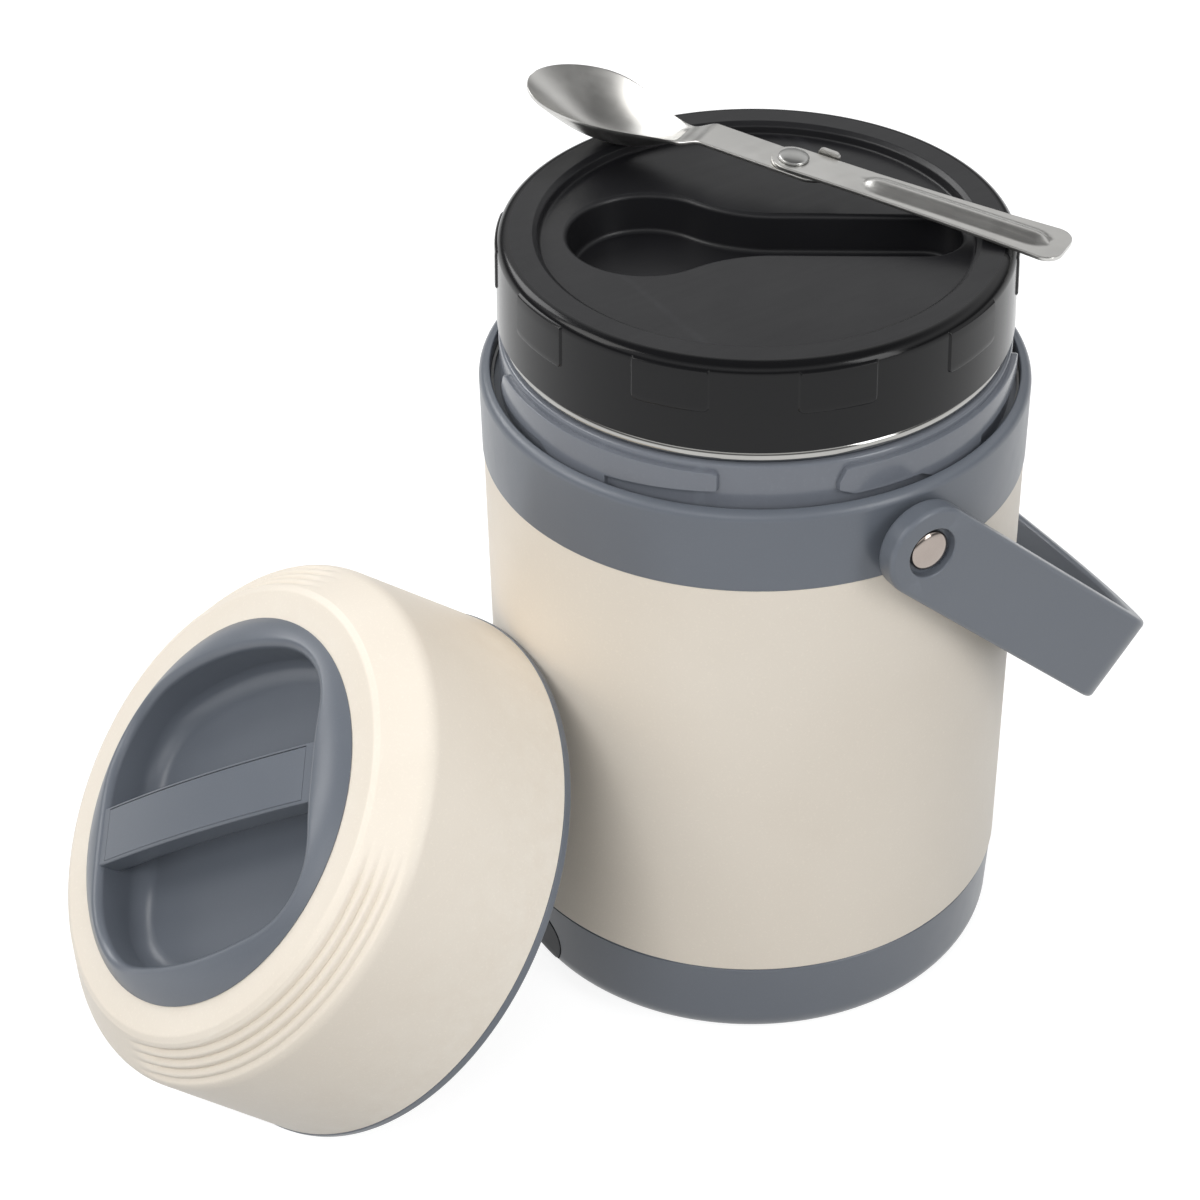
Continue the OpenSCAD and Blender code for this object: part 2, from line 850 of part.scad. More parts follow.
module bail_outline() {
    difference() {
        union() {
            translate([-bail_half, 0])
                square([2 * bail_half, corner_c[1]]);
            intersection() {
                translate([0, bail_bow_c])
                    circle(r = bail_bow_r, $fn = 180);
                polygon([[-corner_c[0], 0],
                    [corner_c[0], 0],
                    corner_c,
                    corner_c + 2 * bail_corner * [cos(corner_a), sin(corner_a)],
                    [0, bail_reach + 10],
                    [-corner_c[0], corner_c[1]] + 2 * bail_corner * [-cos(corner_a), sin(corner_a)],
                    [-corner_c[0], corner_c[1]]]);
            }
            for (side = [-1, 1])
                translate([side * corner_c[0], corner_c[1]])
                    circle(r = bail_corner);
        }
        intersection() {
            translate([-bail_in, -1])
                square([2 * bail_in, bail_reach]);
            translate([0, bail_bow_c])
                circle(r = bail_bow_r - bail_t, $fn = 180);
        }
    }
}

// the bail's own frame: X along the pivots, Y along the arms, Z through the band
module at_bail() {
    translate([0, 0, pivot_z])
        rotate([-bail_hang, 0, 0])
            children();
}

module bail_handle() {
    color(slate)
        at_bail()
            difference() {
                union() {
                    translate([0, 0, -bail_w / 2])
                        linear_extrude(bail_w)
                            bail_outline();
                    for (side = [-1, 1])
                        translate([side * (bail_in + bail_half) / 2, 0, 0])
                            rotate([0, 90, 0])
                                cylinder(r = eye_r, h = bail_t, center = true);
                }
                for (side = [0, 180])
                    rotate([0, side, 0])
                        rotate([0, 90, 0]) {
                            translate([0, 0, bail_in - 1])
                                cylinder(r = pivot_r + bore_gap, h = bail_t + 2);
                            translate([0, 0, cap_floor])
                                cylinder(r = cap_recess_r, h = bail_t);
                        }
            }
}

module pivot_pins() {
    head_low = cap_floor + run_gap;
    dome = 1.5;
    color(steel)
        at_pivots() {
            translate([0, 0, pivot_in])
                cylinder(r = pivot_r, h = head_low - pivot_in + eps);
            rotate_extrude()
                polygon([
                    [0, head_low],
                    [cap_r, head_low],
                    [cap_r, head_low + 0.5],
                    [cap_r * 0.92, head_low + 0.5 + dome * 0.3],
                    [cap_r * 0.75, head_low + 0.5 + dome * 0.6],
                    [cap_r * 0.5, head_low + 0.5 + dome * 0.85],
                    [0, head_low + 0.5 + dome]]);
        }
}

module pivot_washers() {
    color(charcoal)
        at_pivots()
            translate([0, 0, boss_out])
                difference() {
                    cylinder(r = pivot_boss_r, h = washer_t);
                    translate([0, 0, -1])
                        cylinder(r = pivot_r + bore_gap, h = washer_t + 2);
                }
}

// bowl lid

skirt_in_r = lip_r - bowl_lid_wall;
roof_z = dish_z - bowl_lid_wall;
plug_r = bowl_r - bowl_wall - 1;
plug_wall = 1.6;
plug_z = neck_top + flat_gap;
gasket_h = rim_h - 1.4;
lid_plate_t = 2;
recess_floor = dish_z - recess_depth;
// where the waist's arcs stand between the wide end and the slot
waist_y = recess_slot_r + recess_waist_r;
waist_x = -recess_bowl_at + sqrt(pow(recess_bowl_r + recess_waist_r, 2) - pow(waist_y, 2));

// the spoon recess seen from above, moved outwards by d
module recess_outline(d) {
    translate([-recess_bowl_at, 0])
        circle(r = recess_bowl_r + d);
    translate([recess_slot_at, 0])
        circle(r = recess_slot_r + d);
    difference() {
        translate([-recess_bowl_at, -waist_y])
            square([recess_bowl_at + waist_x, 2 * waist_y]);
        for (side = [-1, 1]) {
            translate([waist_x, side * waist_y])
                circle(r = recess_waist_r - d);
            waist_corner(side, d);
        }
    }
    translate([waist_x - eps, -recess_slot_r - d])
        square([recess_slot_at - waist_x + eps, 2 * (recess_slot_r + d)]);
}

// what lies beyond the line from the wide end's centre to the waist arc's centre
module waist_corner(side, d) {
    polygon([
        [-recess_bowl_at - 1, side * (recess_slot_r + d) * 0.2],
        [-recess_bowl_at - 1, side * waist_y * 1.1],
        [waist_x, side * waist_y * 1.1],
        [waist_x, side * waist_y],
        [-recess_bowl_at, side * (recess_slot_r + d) * 0.2]]);
}

module at_recess() {
    rotate([0, 0, recess_az])
        translate([0, recess_aside, 0])
            children();
}

// a grip pad's half width as an angle, its corners, and its upper and lower edge below the lip
pad_half_a = 9;
pad_corner = 2.4;
pad_high = 1.8;
pad_low = 14.6;
first_pad_a = -16;

module grip_pad_prisms() {
    half = lip_r * sin(pad_half_a);
    around(grip_pads, first_pad_a)
        rotate([90, 0, 90])
            linear_extrude(lip_r + 5)
                polygon([
                    [-half, lip_top - pad_high + 1],
                    [-half, lip_top - pad_low + pad_corner],
                    [-half + pad_corner, lip_top - pad_low],
                    [half - pad_corner, lip_top - pad_low],
                    [half, lip_top - pad_low + pad_corner],
                    [half, lip_top - pad_high + 1]]);
}

module bowl_lid() {
    color(charcoal)
        difference() {
            union() {
                rotate_extrude()
                    polygon(concat(
                        [[skirt_in_r, band_top],
                         [skirt_r, band_top],
                         [lip_r, lip_top - lip_round]],
                        arc([lip_r - lip_round, lip_top - lip_round], lip_round, 0, 90),
                        [[dish_r + 1.6, lip_top],
                         [dish_r + 0.4, lip_top - 0.8],
                         [dish_r, dish_z],
                         [0, dish_z],
                         [0, roof_z],
                         [plug_r - plug_wall, roof_z],
                         [plug_r - plug_wall, plug_z],
                         [plug_r, plug_z],
                         [plug_r, roof_z],
                         [skirt_in_r, roof_z]]));
                intersection() {
                    translate([0, 0, lip_top - pad_low - 1])
                        tube(lip_r + grip_pad_proud, lip_r - 1, pad_low + 1 - pad_high);
                    grip_pad_prisms();
                }
                at_recess()
                    translate([0, 0, recess_floor - bowl_lid_wall])
                        linear_extrude(recess_depth + bowl_lid_wall)
                            recess_outline(bowl_lid_wall);
            }
            at_recess()
                translate([0, 0, recess_floor])
                    linear_extrude(recess_depth + 5)
                        recess_outline(0);
        }
}

module bowl_lid_plate() {
    color(charcoal)
        translate([0, 0, plug_z])
            cylinder(r = plug_r - plug_wall - flat_gap, h = lid_plate_t);
}

module bowl_lid_gasket() {
    color(rubber)
        translate([0, 0, plug_z + 0.6])
            tube(bowl_r - bowl_wall - run_gap, plug_r + bore_gap, gasket_h);
}

// spoon

step_at = 26;
step_len = 7.5;
step_drop = 3;
bowl_start = 34;
shank_tail = 11;
stop_at = 4;
stop_len = 6.5;
stop_rise = 1.4;
tip_rise = 2.3;
rivet_head_r = 4.3;
handle_gap = 0.15;
handle_z = spoon_t + handle_gap;
handle_tip_round = 5;
ridge_w = 9.2;
ridge_rise = 1.9;

// the spoon rests on the bowl lid's lip under its bowl, and its handle turns just clear of the lip
turn_gap = 0.85;
rivet_along = rivet_x * cos(spoon_az) + rivet_y * sin(spoon_az);
rivet_off = rivet_x * sin(spoon_az) - rivet_y * cos(spoon_az);
handle_rest = sqrt(pow(lip_r - lip_round, 2) - pow(rivet_off, 2)) - rivet_along + 0.4;
bowl_rest = bowl_start + 0.44 * (spoon_reach - bowl_start);
bowl_under = step_drop + spoon_depth + 0.2;
spoon_slope = atan((bowl_under + handle_z + run_gap - turn_gap) / (bowl_rest + handle_rest));
blade_low = lip_top + turn_gap + handle_rest * sin(spoon_slope) - handle_z * cos(spoon_slope);

// the spoon's own frame: X towards the handle's end, Z through the blade, from the blade's underside at the rivet
module at_spoon() {
    translate([rivet_x, rivet_y, blade_low])
        rotate([0, 0, spoon_az])
            rotate([0, spoon_slope, 0])
                children();
}

// half width of the spoon's bowl at share u from neck to tip
function spoon_half(u) = let (neck = shank_w * 0.45, full = spoon_w / 2)
    u < 0.6 ? neck + (full - neck) * pow(sin(90 * u / 0.6), 1.5) : full * sqrt(max(1 - pow((u - 0.6) / 0.4, 2), 0));

// depth of the spoon's bowl at share u from neck to tip
function spoon_sink(u) = spoon_depth * pow(max(sin(180 * pow(u, 0.85)), 0), 0.9);

// how far the bowl's edge is lifted at share u from neck to tip
function edge_lift(u) = tip_rise * pow(sin(90 * min(u / 0.7, 1)), 2);

// a dished sheet along -X: rows follow the share u, columns run across the sheet
module dished_sheet(n, m) {
    len_b = spoon_reach - bowl_start;
    us = [for (i = [0:n]) 0.997 * (1 - pow(1 - i / n, 1.35))];
    top = [for (u = us, j = [-m:m])
        let (v = j / m)
            [-bowl_start - len_b * u, v * spoon_half(u), edge_lift(u) * v * v - spoon_sink(u) * (1 - v * v)]];
    low = [for (u = us, j = [-m:m])
        let (v = j / m)
            [-bowl_start - len_b * u, v * spoon_half(u),
                edge_lift(u) * v * v - spoon_sink(u) * (1 - v * v) - spoon_t]];
    w = 2 * m + 1;
    k = (n + 1) * w;
    polyhedron(concat(top, low), concat(
        [for (i = [0:n - 1], j = [0:w - 2]) each [
            [i * w + j, (i + 1) * w + j + 1, i * w + j + 1],
            [i * w + j, (i + 1) * w + j, (i + 1) * w + j + 1],
            [k + i * w + j, k + i * w + j + 1, k + (i + 1) * w + j + 1],
            [k + i * w + j, k + (i + 1) * w + j + 1, k + (i + 1) * w + j]]],
        [for (i = [0:n - 1]) each [
            [i * w, k + i * w, (i + 1) * w],
            [(i + 1) * w, k + i * w, k + (i + 1) * w],
            [i * w + w - 1, (i + 1) * w + w - 1, k + i * w + w - 1],
            [(i + 1) * w + w - 1, k + (i + 1) * w + w - 1, k + i * w + w - 1]]],
        [for (j = [0:w - 2]) each [
            [j, j + 1, k + j],
            [j + 1, k + j + 1, k + j],
            [n * w + j, k + n * w + j, n * w + j + 1],
            [n * w + j + 1, k + n * w + j, k + n * w + j + 1]]]));
}

module spoon_bowl() {
    color(steel)
        at_spoon()
            difference() {
                union() {
                    translate([0, 0, -step_drop + spoon_t])
                        dished_sheet(16, 7);
                    rotate([90, 0, 0])
                        translate([0, 0, -shank_w / 2])
                            linear_extrude(shank_w)
                                polygon([
                                    [shank_tail, 0],
                                    [shank_tail, spoon_t],
                                    [-step_at, spoon_t],
                                    [-step_at - step_len, spoon_t - step_drop],
                                    [-bowl_start - 1, spoon_t - step_drop],
                                    [-bowl_start - 1, -step_drop],
                                    [-step_at - step_len, -step_drop],
                                    [-step_at, 0]]);
                    stop_tab();
                }
                translate([0, 0, -1])
                    cylinder(r = rivet_r + bore_gap, h = 4);
            }
}

// the tab bent up from the shank beside the open handle
module stop_tab() {
    tab_y = (handle_w / 2 + run_gap) / cos(handle_yaw) + (stop_at + stop_len) * tan(handle_yaw);
    translate([stop_at, shank_w / 2 - 1, 0])
        cube([stop_len, tab_y - shank_w / 2 + 1 + eps, spoon_t]);
    translate([stop_at, tab_y, 0])
        cube([stop_len, spoon_t, handle_z + spoon_t + stop_rise]);
}

module spoon_handle() {
    tip_x = handle_reach - handle_tip_round;
    tip_y = handle_tip_w / 2 - handle_tip_round;
    color(steel)
        at_spoon()
            rotate([0, 0, handle_yaw])
                difference() {
                    union() {
                        translate([0, 0, handle_z])
                            linear_extrude(spoon_t) {
                                circle(d = handle_w);
                                polygon([
                                    [0, -handle_w / 2],
                                    [23, -handle_w / 2],
                                    [tip_x, -handle_tip_w / 2],
                                    [tip_x, handle_tip_w / 2],
                                    [23, handle_w / 2],
                                    [0, handle_w / 2]]);
                                for (side = [-1, 1])
                                    translate([tip_x, side * tip_y])
                                        circle(r = handle_tip_round);
                                translate([tip_x - 1, -tip_y])
                                    square([handle_tip_round + 1, 2 * tip_y]);
                            }
                        translate([0, 0, handle_z + spoon_t])
                            ridge();
                    }
                    translate([0, 0, handle_z - 1])
                        cylinder(r = rivet_r + bore_gap, h = 4);
                }
}

// the raised oval pressed into the handle
module ridge() {
    ridge_from = 22 + ridge_w / 2;
    ridge_to = handle_reach - 6 - ridge_w / 2;
    hull()
        for (x = [ridge_from, ridge_to]) {
            translate([x, 0, -0.5])
                cylinder(d = ridge_w, h = 0.6, $fn = 32);
            translate([x, 0, 0])
                cylinder(d = ridge_w * 0.75, h = ridge_rise * 0.7, $fn = 32);
            translate([x, 0, 0])
                cylinder(d = ridge_w * 0.4, h = ridge_rise, $fn = 32);
        }
}

module spoon_rivet() {
    color(steel)
        at_spoon() {
            translate([0, 0, -1])
                cylinder(r = rivet_r, h = handle_z + spoon_t + 1.4);
            translate([0, 0, -1])
                cylinder(r = rivet_head_r - 1, h = 1 - eps);
            translate([0, 0, handle_z + spoon_t + handle_gap])
                rotate_extrude()
                    polygon([
                        [0, 0],
                        [rivet_head_r, 0],
                        [rivet_head_r, 0.4],
                        [rivet_head_r - 0.8, 1],
                        [0, 1.2]]);
        }
}

// outer lid, in its own frame: Z up from the mouth's plane

lid_edge_round = 1;
opening_corner = 25;
lug_arc = 16;
groove_mid = 70;
rim_sleeve_h = 7.4;
rim_bore_r = neck_r + rib_proud + run_gap;
rim_sleeve_r = lid_rim_r - 0.3 - lid_wall - fit - 0.4;
liner_low = lid_rim_h + rim_sleeve_h;
liner_t = 0.8;
liner_in_r = skirt_r + 0.7;
liner_corner = 8;
ceiling_h = lip_top - collar_top + 1.5;
lid_gasket_t = 1.2;
cup_wall = 2;
cup_neck_r = cup_r - 3.4;
flange_z = lid_h + 0.6;
cup_top = flange_z + cup_dome;
crest_r = cup_opening_l / 2 + 1;
// radius of the flange's dome, level at the crest
dome_r = (pow(cup_r - 0.3 - crest_r, 2) + pow(cup_dome, 2)) / (2 * cup_dome);
cup_floor = cup_top - cup_depth;
cup_low = cup_floor - cup_wall;
bar_top = cup_top - 0.7;
strip_l = cup_opening_l - 4;
strip_t = 1.6;
strip_w = bar_w - 1.6;

// the lid's outer side from the grey rim to the flat top, moved inwards by d
function lid_side(d) = [
    [lid_rim_r - 0.3 - d, lid_rim_h],
    [shoulder_r + 0.1 - d, shoulder_h - 3],
    [shoulder_r - 0.5 - d, shoulder_h],
    [lid_top_r + 0.6 - d * 0.7, lid_h - 1 - d * 0.7],
    [lid_top_r - 1 - d * 0.6, lid_h - d]];

// the leaning pose: the rim stands on the table and its upper edge rests on the body
lean_z = (lid_rim_r - lid_edge_round) * sin(lid_lean) - lid_edge_round * cos(lid_lean) + lid_edge_round;
lean_reach = (lid_rim_r - lid_edge_round) * cos(lid_lean) - lid_edge_round * sin(lid_lean) + lid_edge_round;
touch_r = body_r(2 * lean_z);
lean_d = touch_r + run_gap + lean_reach
    - pow(lid_aside, 2) / (2 * (touch_r + lid_rim_r / cos(lid_lean)));

module at_lid() {
    rotate([0, 0, lid_az])
        translate([lean_d, lid_aside, lean_z])
            rotate([0, lid_lean, 0])
                children();
}

module lid_shell() {
    color(cream)
        at_lid()
            difference() {
                rotate_extrude()
                    polygon(concat(
                        lid_side(0),
                        [[cup_neck_r + flat_gap, lid_h],
                         [cup_neck_r + flat_gap, lid_h - lid_wall]],
                        [for (i = [3:-1:0]) lid_side(lid_wall)[i]]));
                around(2, groove_mid - groove_arc / 2)
                    for (i = [1:groove_count])
                        rotate_extrude(angle = groove_arc)
                            translate(groove_place(i))
                                circle(r = 0.9, $fn = 16);
            }
}

// the middle of grip groove number i on the sloping side
function groove_place(i) = let (s = i / (groove_count + 1))
    [(shoulder_r - 0.5) + s * (lid_top_r + 1.1 - shoulder_r), shoulder_h + s * (lid_h - 1 - shoulder_h)];

module lid_rim() {
    color(slate)
        at_lid() {
            rotate_extrude()
                polygon(concat(
                    [[rim_bore_r, 0]],
                    arc([lid_rim_r - lid_edge_round, lid_edge_round], lid_edge_round, -90, 0, 4),
                    [[lid_rim_r, lid_rim_h],
                     [rim_sleeve_r, lid_rim_h],
                     [rim_sleeve_r, liner_low],
                     [rim_bore_r, liner_low]]));
            around(rib_count, rib_end + 4 - lid_az)
                rotate_extrude(angle = lug_arc)
                    translate([neck_r + run_gap, 0.8])
                        square([rim_bore_r - neck_r, 3.4]);
        }
}

// the liner's inner side, moved outwards by d, starting at height z0
module liner_side(d, z0) {
    r = liner_in_r + d;
    polygon(concat(
        [[0, z0],
         [r, z0]],
        arc([liner_in_r - liner_corner, ceiling_h - liner_corner], liner_corner + d, 0, 90),
        [[0, ceiling_h + d]]));
}

module lid_liner() {
    color([0.85, 0.85, 0.84])
        at_lid()
            rotate_extrude()
                difference() {
                    liner_side(liner_t, liner_low);
                    liner_side(0, liner_low - 1);
                }
}

module lid_gasket() {
    color(rubber)
        at_lid()
            translate([0, 0, ceiling_h - lid_gasket_t])
                tube(liner_in_r - liner_corner, liner_in_r - liner_corner - 4, lid_gasket_t);
}

module lid_insulation() {
    foam_low = ceiling_h + liner_t + flat_gap;
    foam_top = shoulder_h + 3;
    color(foam)
        at_lid()
            rotate_extrude()
                polygon([
                    [cup_neck_r + flat_gap + 0.6, foam_low],
                    [shoulder_r - lid_wall - 3, foam_low],
                    [shoulder_r - lid_wall - 3, shoulder_h - 2],
                    [lid_top_r - 1, foam_top],
                    [cup_neck_r + flat_gap + 0.6, foam_top]]);
}

// the cup's opening, moved inwards by d: flat at the bar's two ends, curved along its two long sides
module cup_outline(d) {
    r = opening_corner - d;
    l = cup_opening_l / 2 - d;
    w = cup_opening_w / 2 - d;
    side_r = cup_side_r - d;
    side_c = [0, w - side_r];
    corner = [l - r, side_c[1] + sqrt(pow(side_r - r, 2) - pow(l - r, 2))];
    away = corner + (corner - side_c) * 2 * r / (side_r - r);
    square([2 * l, 2 * corner[1]], center = true);
    for (turn = [0, 180])
        rotate([0, 0, turn]) {
            intersection() {
                translate(side_c)
                    circle(r = side_r, $fn = 180);
                polygon([[-corner[0], 0],
                    [corner[0], 0],
                    corner,
                    away,
                    [-away[0], away[1]],
                    [-corner[0], corner[1]]]);
            }
            for (side = [-1, 1])
                translate([side * corner[0], corner[1]])
                    circle(r = r);
        }
}

// a line along the grip bar's arched top, sunk by d, over the length l
function bar_line(l, d) = [for (i = [-8:8])
    let (x = i * l / 16)
        [x, bar_top + bar_arch * (1 - pow(2 * x / cup_opening_l, 2)) - d]];

// an arched bar of width w and length l from depth d0 to d1 below the bar's top
module grip_bar(w, d0, d1, l) {
    low = bar_line(l, d1);
    rotate([0, 0, bar_az])
        rotate([90, 0, 0])
            translate([0, 0, -w / 2])
                linear_extrude(w)
                    polygon(concat(bar_line(l, d0), [for (i = [len(low) - 1:-1:0]) low[i]]));
}

module handle_cup() {
    color(slate)
        at_lid() {
            difference() {
                rotate_extrude()
                    polygon(concat(
                        [[0, cup_low],
                         [cup_neck_r - 4, cup_low],
                         [cup_neck_r, cup_low + 4],
                         [cup_neck_r, lid_h],
                         [cup_r, lid_h],
                         [cup_r, lid_h + 0.3]],
                        arc([crest_r, cup_top - dome_r], dome_r, asin(1 - cup_dome / dome_r), 90, 8),
                        [[0, cup_top]]));
                rotate([0, 0, bar_az]) {
                    translate([0, 0, cup_floor + 4])
                        linear_extrude(cup_depth)
                            cup_outline(0);
                    translate([0, 0, cup_floor])
                        linear_extrude(cup_depth)
                            cup_outline(3);
                    translate([0, 0, cup_floor + 1.6])
                        linear_extrude(cup_depth)
                            cup_outline(1.2);
                }
            }
            difference() {
                grip_bar(bar_w, 0, bar_t, cup_opening_l + 2);
                grip_bar(strip_w + 2 * flat_gap, -1, strip_t, strip_l + 2 * flat_gap);
            }
        }
}

module grip_strip() {
    color(slate)
        at_lid()
            grip_bar(strip_w, 0, strip_t, strip_l);
}

outer_shell();
collar_ring();
neck_gasket();
well_liner();
insulation_sleeve();
base_ring();
bottom_cover();
base_screws();
base_pad();
heater_plate();
heating_element();
heater_bracket();
heater_nuts();
thermostat();
thermal_fuse();
live_lead();
neutral_lead();
link_lead();
inlet_socket();
inlet_pins();
inlet_flap();
bail_handle();
pivot_pins();
pivot_washers();
food_bowl();
bowl_lid();
bowl_lid_plate();
bowl_lid_gasket();
spoon_bowl();
spoon_handle();
spoon_rivet();
lid_shell();
lid_rim();
lid_liner();
lid_insulation();
lid_gasket();
handle_cup();
grip_strip();
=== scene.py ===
import math

import bmesh
import bpy
from mathutils import Matrix, Vector
from mathutils.geometry import tessellate_polygon


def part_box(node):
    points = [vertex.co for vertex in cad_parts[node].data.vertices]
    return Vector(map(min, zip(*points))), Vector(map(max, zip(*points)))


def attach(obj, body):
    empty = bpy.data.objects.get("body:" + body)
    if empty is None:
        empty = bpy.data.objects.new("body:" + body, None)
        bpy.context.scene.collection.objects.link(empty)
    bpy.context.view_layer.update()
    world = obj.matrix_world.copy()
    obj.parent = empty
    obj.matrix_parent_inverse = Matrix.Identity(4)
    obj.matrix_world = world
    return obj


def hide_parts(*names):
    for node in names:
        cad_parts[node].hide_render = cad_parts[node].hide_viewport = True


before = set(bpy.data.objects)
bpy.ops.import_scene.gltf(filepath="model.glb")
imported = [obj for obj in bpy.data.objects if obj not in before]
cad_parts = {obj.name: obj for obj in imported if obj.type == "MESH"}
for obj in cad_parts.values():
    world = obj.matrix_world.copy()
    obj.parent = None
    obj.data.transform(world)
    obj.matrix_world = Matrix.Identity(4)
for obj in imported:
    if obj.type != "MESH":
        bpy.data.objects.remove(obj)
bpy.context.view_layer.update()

# Lengths below are in millimetres and angles in degrees, in the jar's own frame: +Z up, origin on the jar's
# axis at the table.
MM = 0.001
TURNS = 224


# Angles, places and outlines

def sind(degrees):
    return math.sin(math.radians(degrees))


def cosd(degrees):
    return math.cos(math.radians(degrees))


def spun(degrees, axis="Z"):
    return Matrix.Rotation(math.radians(degrees), 4, axis)


def shifted(x, y, z):
    return Matrix.Translation((x, y, z))


def arc(centre, radius, start, end, steps=8):
    """The points of an arc about a centre, from one angle to another."""
    angles = [start + (end - start) * i / steps for i in range(steps + 1)]
    return [(centre[0] + radius * cosd(a), centre[1] + radius * sind(a)) for a in angles]


def rounded(corners, closed=True, steps=6):
    """The outline through corners (x, y) or (x, y, radius), with each radius filleted in."""
    count = len(corners)
    outline = []
    for i, corner in enumerate(corners):
        here = Vector(corner[:2])
        if len(corner) < 3 or (not closed and i in (0, count - 1)):
            outline.append(tuple(here))
            continue
        back = (Vector(corners[i - 1][:2]) - here).normalized()
        ahead = (Vector(corners[(i + 1) % count][:2]) - here).normalized()
        half = back.angle(ahead) / 2
        centre = here + (back + ahead).normalized() * (corner[2] / math.sin(half))
        first = here + back * (corner[2] / math.tan(half)) - centre
        last = here + ahead * (corner[2] / math.tan(half)) - centre
        swing = first.angle_signed(last)
        for k in range(steps + 1):
            a = -swing * k / steps
            spoke = Vector((first.x * math.cos(a) - first.y * math.sin(a),
                            first.x * math.sin(a) + first.y * math.cos(a)))
            outline.append(tuple(centre + spoke))
    return outline


def mirrored(half):
    """A half outline above the X axis, closed by its reflection below."""
    return half + [(x, -y) for x, y in reversed(half[1:-1])]


def at_height(outline, z):
    return [(x, y, z) for x, y in outline]


def circle(radius, z):
    return at_height(arc((0, 0), radius, 0, 360, TURNS)[:-1], z)


def ease(share):
    """A share from 0 to 1 that starts and stops softly."""
    share = min(max(share, 0.0), 1.0)
    return share * share * (3 - 2 * share)


def between(x, knots):
    """The value at x on the line through knots (x, value)."""
    for (x0, y0), (x1, y1) in zip(knots, knots[1:]):
        if x <= x1:
            return y0 + (y1 - y0) * (x - x0) / (x1 - x0)
    return knots[-1][1]


# Shapes, each a pair of points and faces

def skin(rings, looped=False):
    """The surface through rings of as many points each, closed at both ends or looped on itself."""
    n = len(rings[0])
    points = [p for ring in rings for p in ring]
    spans = len(rings) if looped else len(rings) - 1
    faces = []
    for k in range(spans):
        a, b = k * n, (k + 1) % len(rings) * n
        faces += [(a + i, a + (i + 1) % n, b + (i + 1) % n, b + i) for i in range(n)]
    if not looped:
        faces += [tuple(range(n)), tuple(range(len(points) - n, len(points)))]
    return points, faces


def pocket_skin(rings):
    """The surface through rings, open at the first ring and closed at the last."""
    points, faces = skin(rings)
    return points, faces[:-2] + faces[-1:]


def stood(a, side):
    """An outline of (radius, height) stood at an angle round Z."""
    c, s = cosd(a), sind(a)
    return [(r * c, r * s, z) for r, z in side]


def turned(outline, turns=TURNS):
    """An outline of (radius, height) turned about Z. It may be a function of the angle."""
    angles = [360 * k / turns for k in range(turns)]
    return skin([stood(a, outline(a) if callable(outline) else outline) for a in angles], looped=True)


def turned_sheet(outline, turns=TURNS):
    """An open outline turned about Z, without a face that joins its two ends."""
    points, faces = turned(outline, turns)
    n = len(outline)
    return points, [f for i, f in enumerate(faces) if i % n != n - 1]


def swept(angles, section):
    """A bar that runs round Z: section(angle) gives its outline of (radius, height) there."""
    return skin([stood(a, section(a)) for a in angles])


def flat_ring(outer, inner):
    """A flat face between two outlines."""
    loops = [[Vector(p) for p in outer], [Vector(p) for p in inner]]
    return outer + inner, [tuple(f) for f in tessellate_polygon(loops)]


def prism(outline, low, high):
    return skin([at_height(outline, low), at_height(outline, high)])


def post(radius, low, high, sides=32):
    return prism(arc((0, 0), radius, 0, 360, sides)[:-1], low, high)


def moved(shape, place):
    return [tuple(place @ Vector(p)) for p in shape[0]], shape[1]


def joined(shapes):
    points, faces = [], []
    for more, sides in shapes:
        faces += [tuple(i + len(points) for i in side) for side in sides]
        points += more
    return points, faces


# Objects

def solid(name, *shapes, place=Matrix.Identity(4)):
    """A mesh object of shapes, welded where they meet, with its faces turned outwards."""
    points, faces = joined(shapes)
    mesh = bpy.data.meshes.new(name)
    mesh.from_pydata([place @ Vector(p) * MM for p in points], [], faces)
    work = bmesh.new()
    work.from_mesh(mesh)
    bmesh.ops.remove_doubles(work, verts=work.verts, dist=2e-6)
    bmesh.ops.dissolve_degenerate(work, edges=work.edges, dist=1e-6)
    bmesh.ops.recalc_face_normals(work, faces=work.faces)
    work.to_mesh(mesh)
    work.free()
    thing = bpy.data.objects.new(name, mesh)
    bpy.context.scene.collection.objects.link(thing)
    return thing


def settle(thing):
    """Applies an object's modifiers to its mesh."""
    bpy.context.view_layer.update()
    view = bpy.context.evaluated_depsgraph_get()
    mesh = bpy.data.meshes.new_from_object(thing.evaluated_get(view))
    thing.modifiers.clear()
    thing.data = mesh


def carve(thing, cutter, how="DIFFERENCE"):
    """Cuts, joins or keeps the common part of two solids, and removes the second."""
    change = thing.modifiers.new("carve", "BOOLEAN")
    change.operation = how
    change.solver = "EXACT"
    change.object = cutter
    settle(thing)
    bpy.data.objects.remove(cutter)


def soften(thing, width, sharper_than=50):
    """Bevels the edges that are sharper than an angle."""
    bevel = thing.modifiers.new("soften", "BEVEL")
    bevel.width = width * MM
    bevel.segments = 2
    bevel.limit_method = "ANGLE"
    bevel.angle_limit = math.radians(sharper_than)
    settle(thing)


def finish(thing, body, materials, stands_for=(), pick=None, crease=32):
    """Shades a piece, gives it its materials, and hangs it on its body in the frame."""
    mesh = thing.data
    mesh.materials.clear()
    for material in materials:
        mesh.materials.append(material)
    for face in mesh.polygons:
        face.use_smooth = True
        face.material_index = pick(face.center / MM, face.normal) if pick else 0
    mesh.set_sharp_from_angle(angle=math.radians(crease))
    weigh = thing.modifiers.new("even shading", "WEIGHTED_NORMAL")
    weigh.keep_sharp = True
    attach(thing, body)
    if stands_for:
        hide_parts(*stands_for)


# Shader nodes

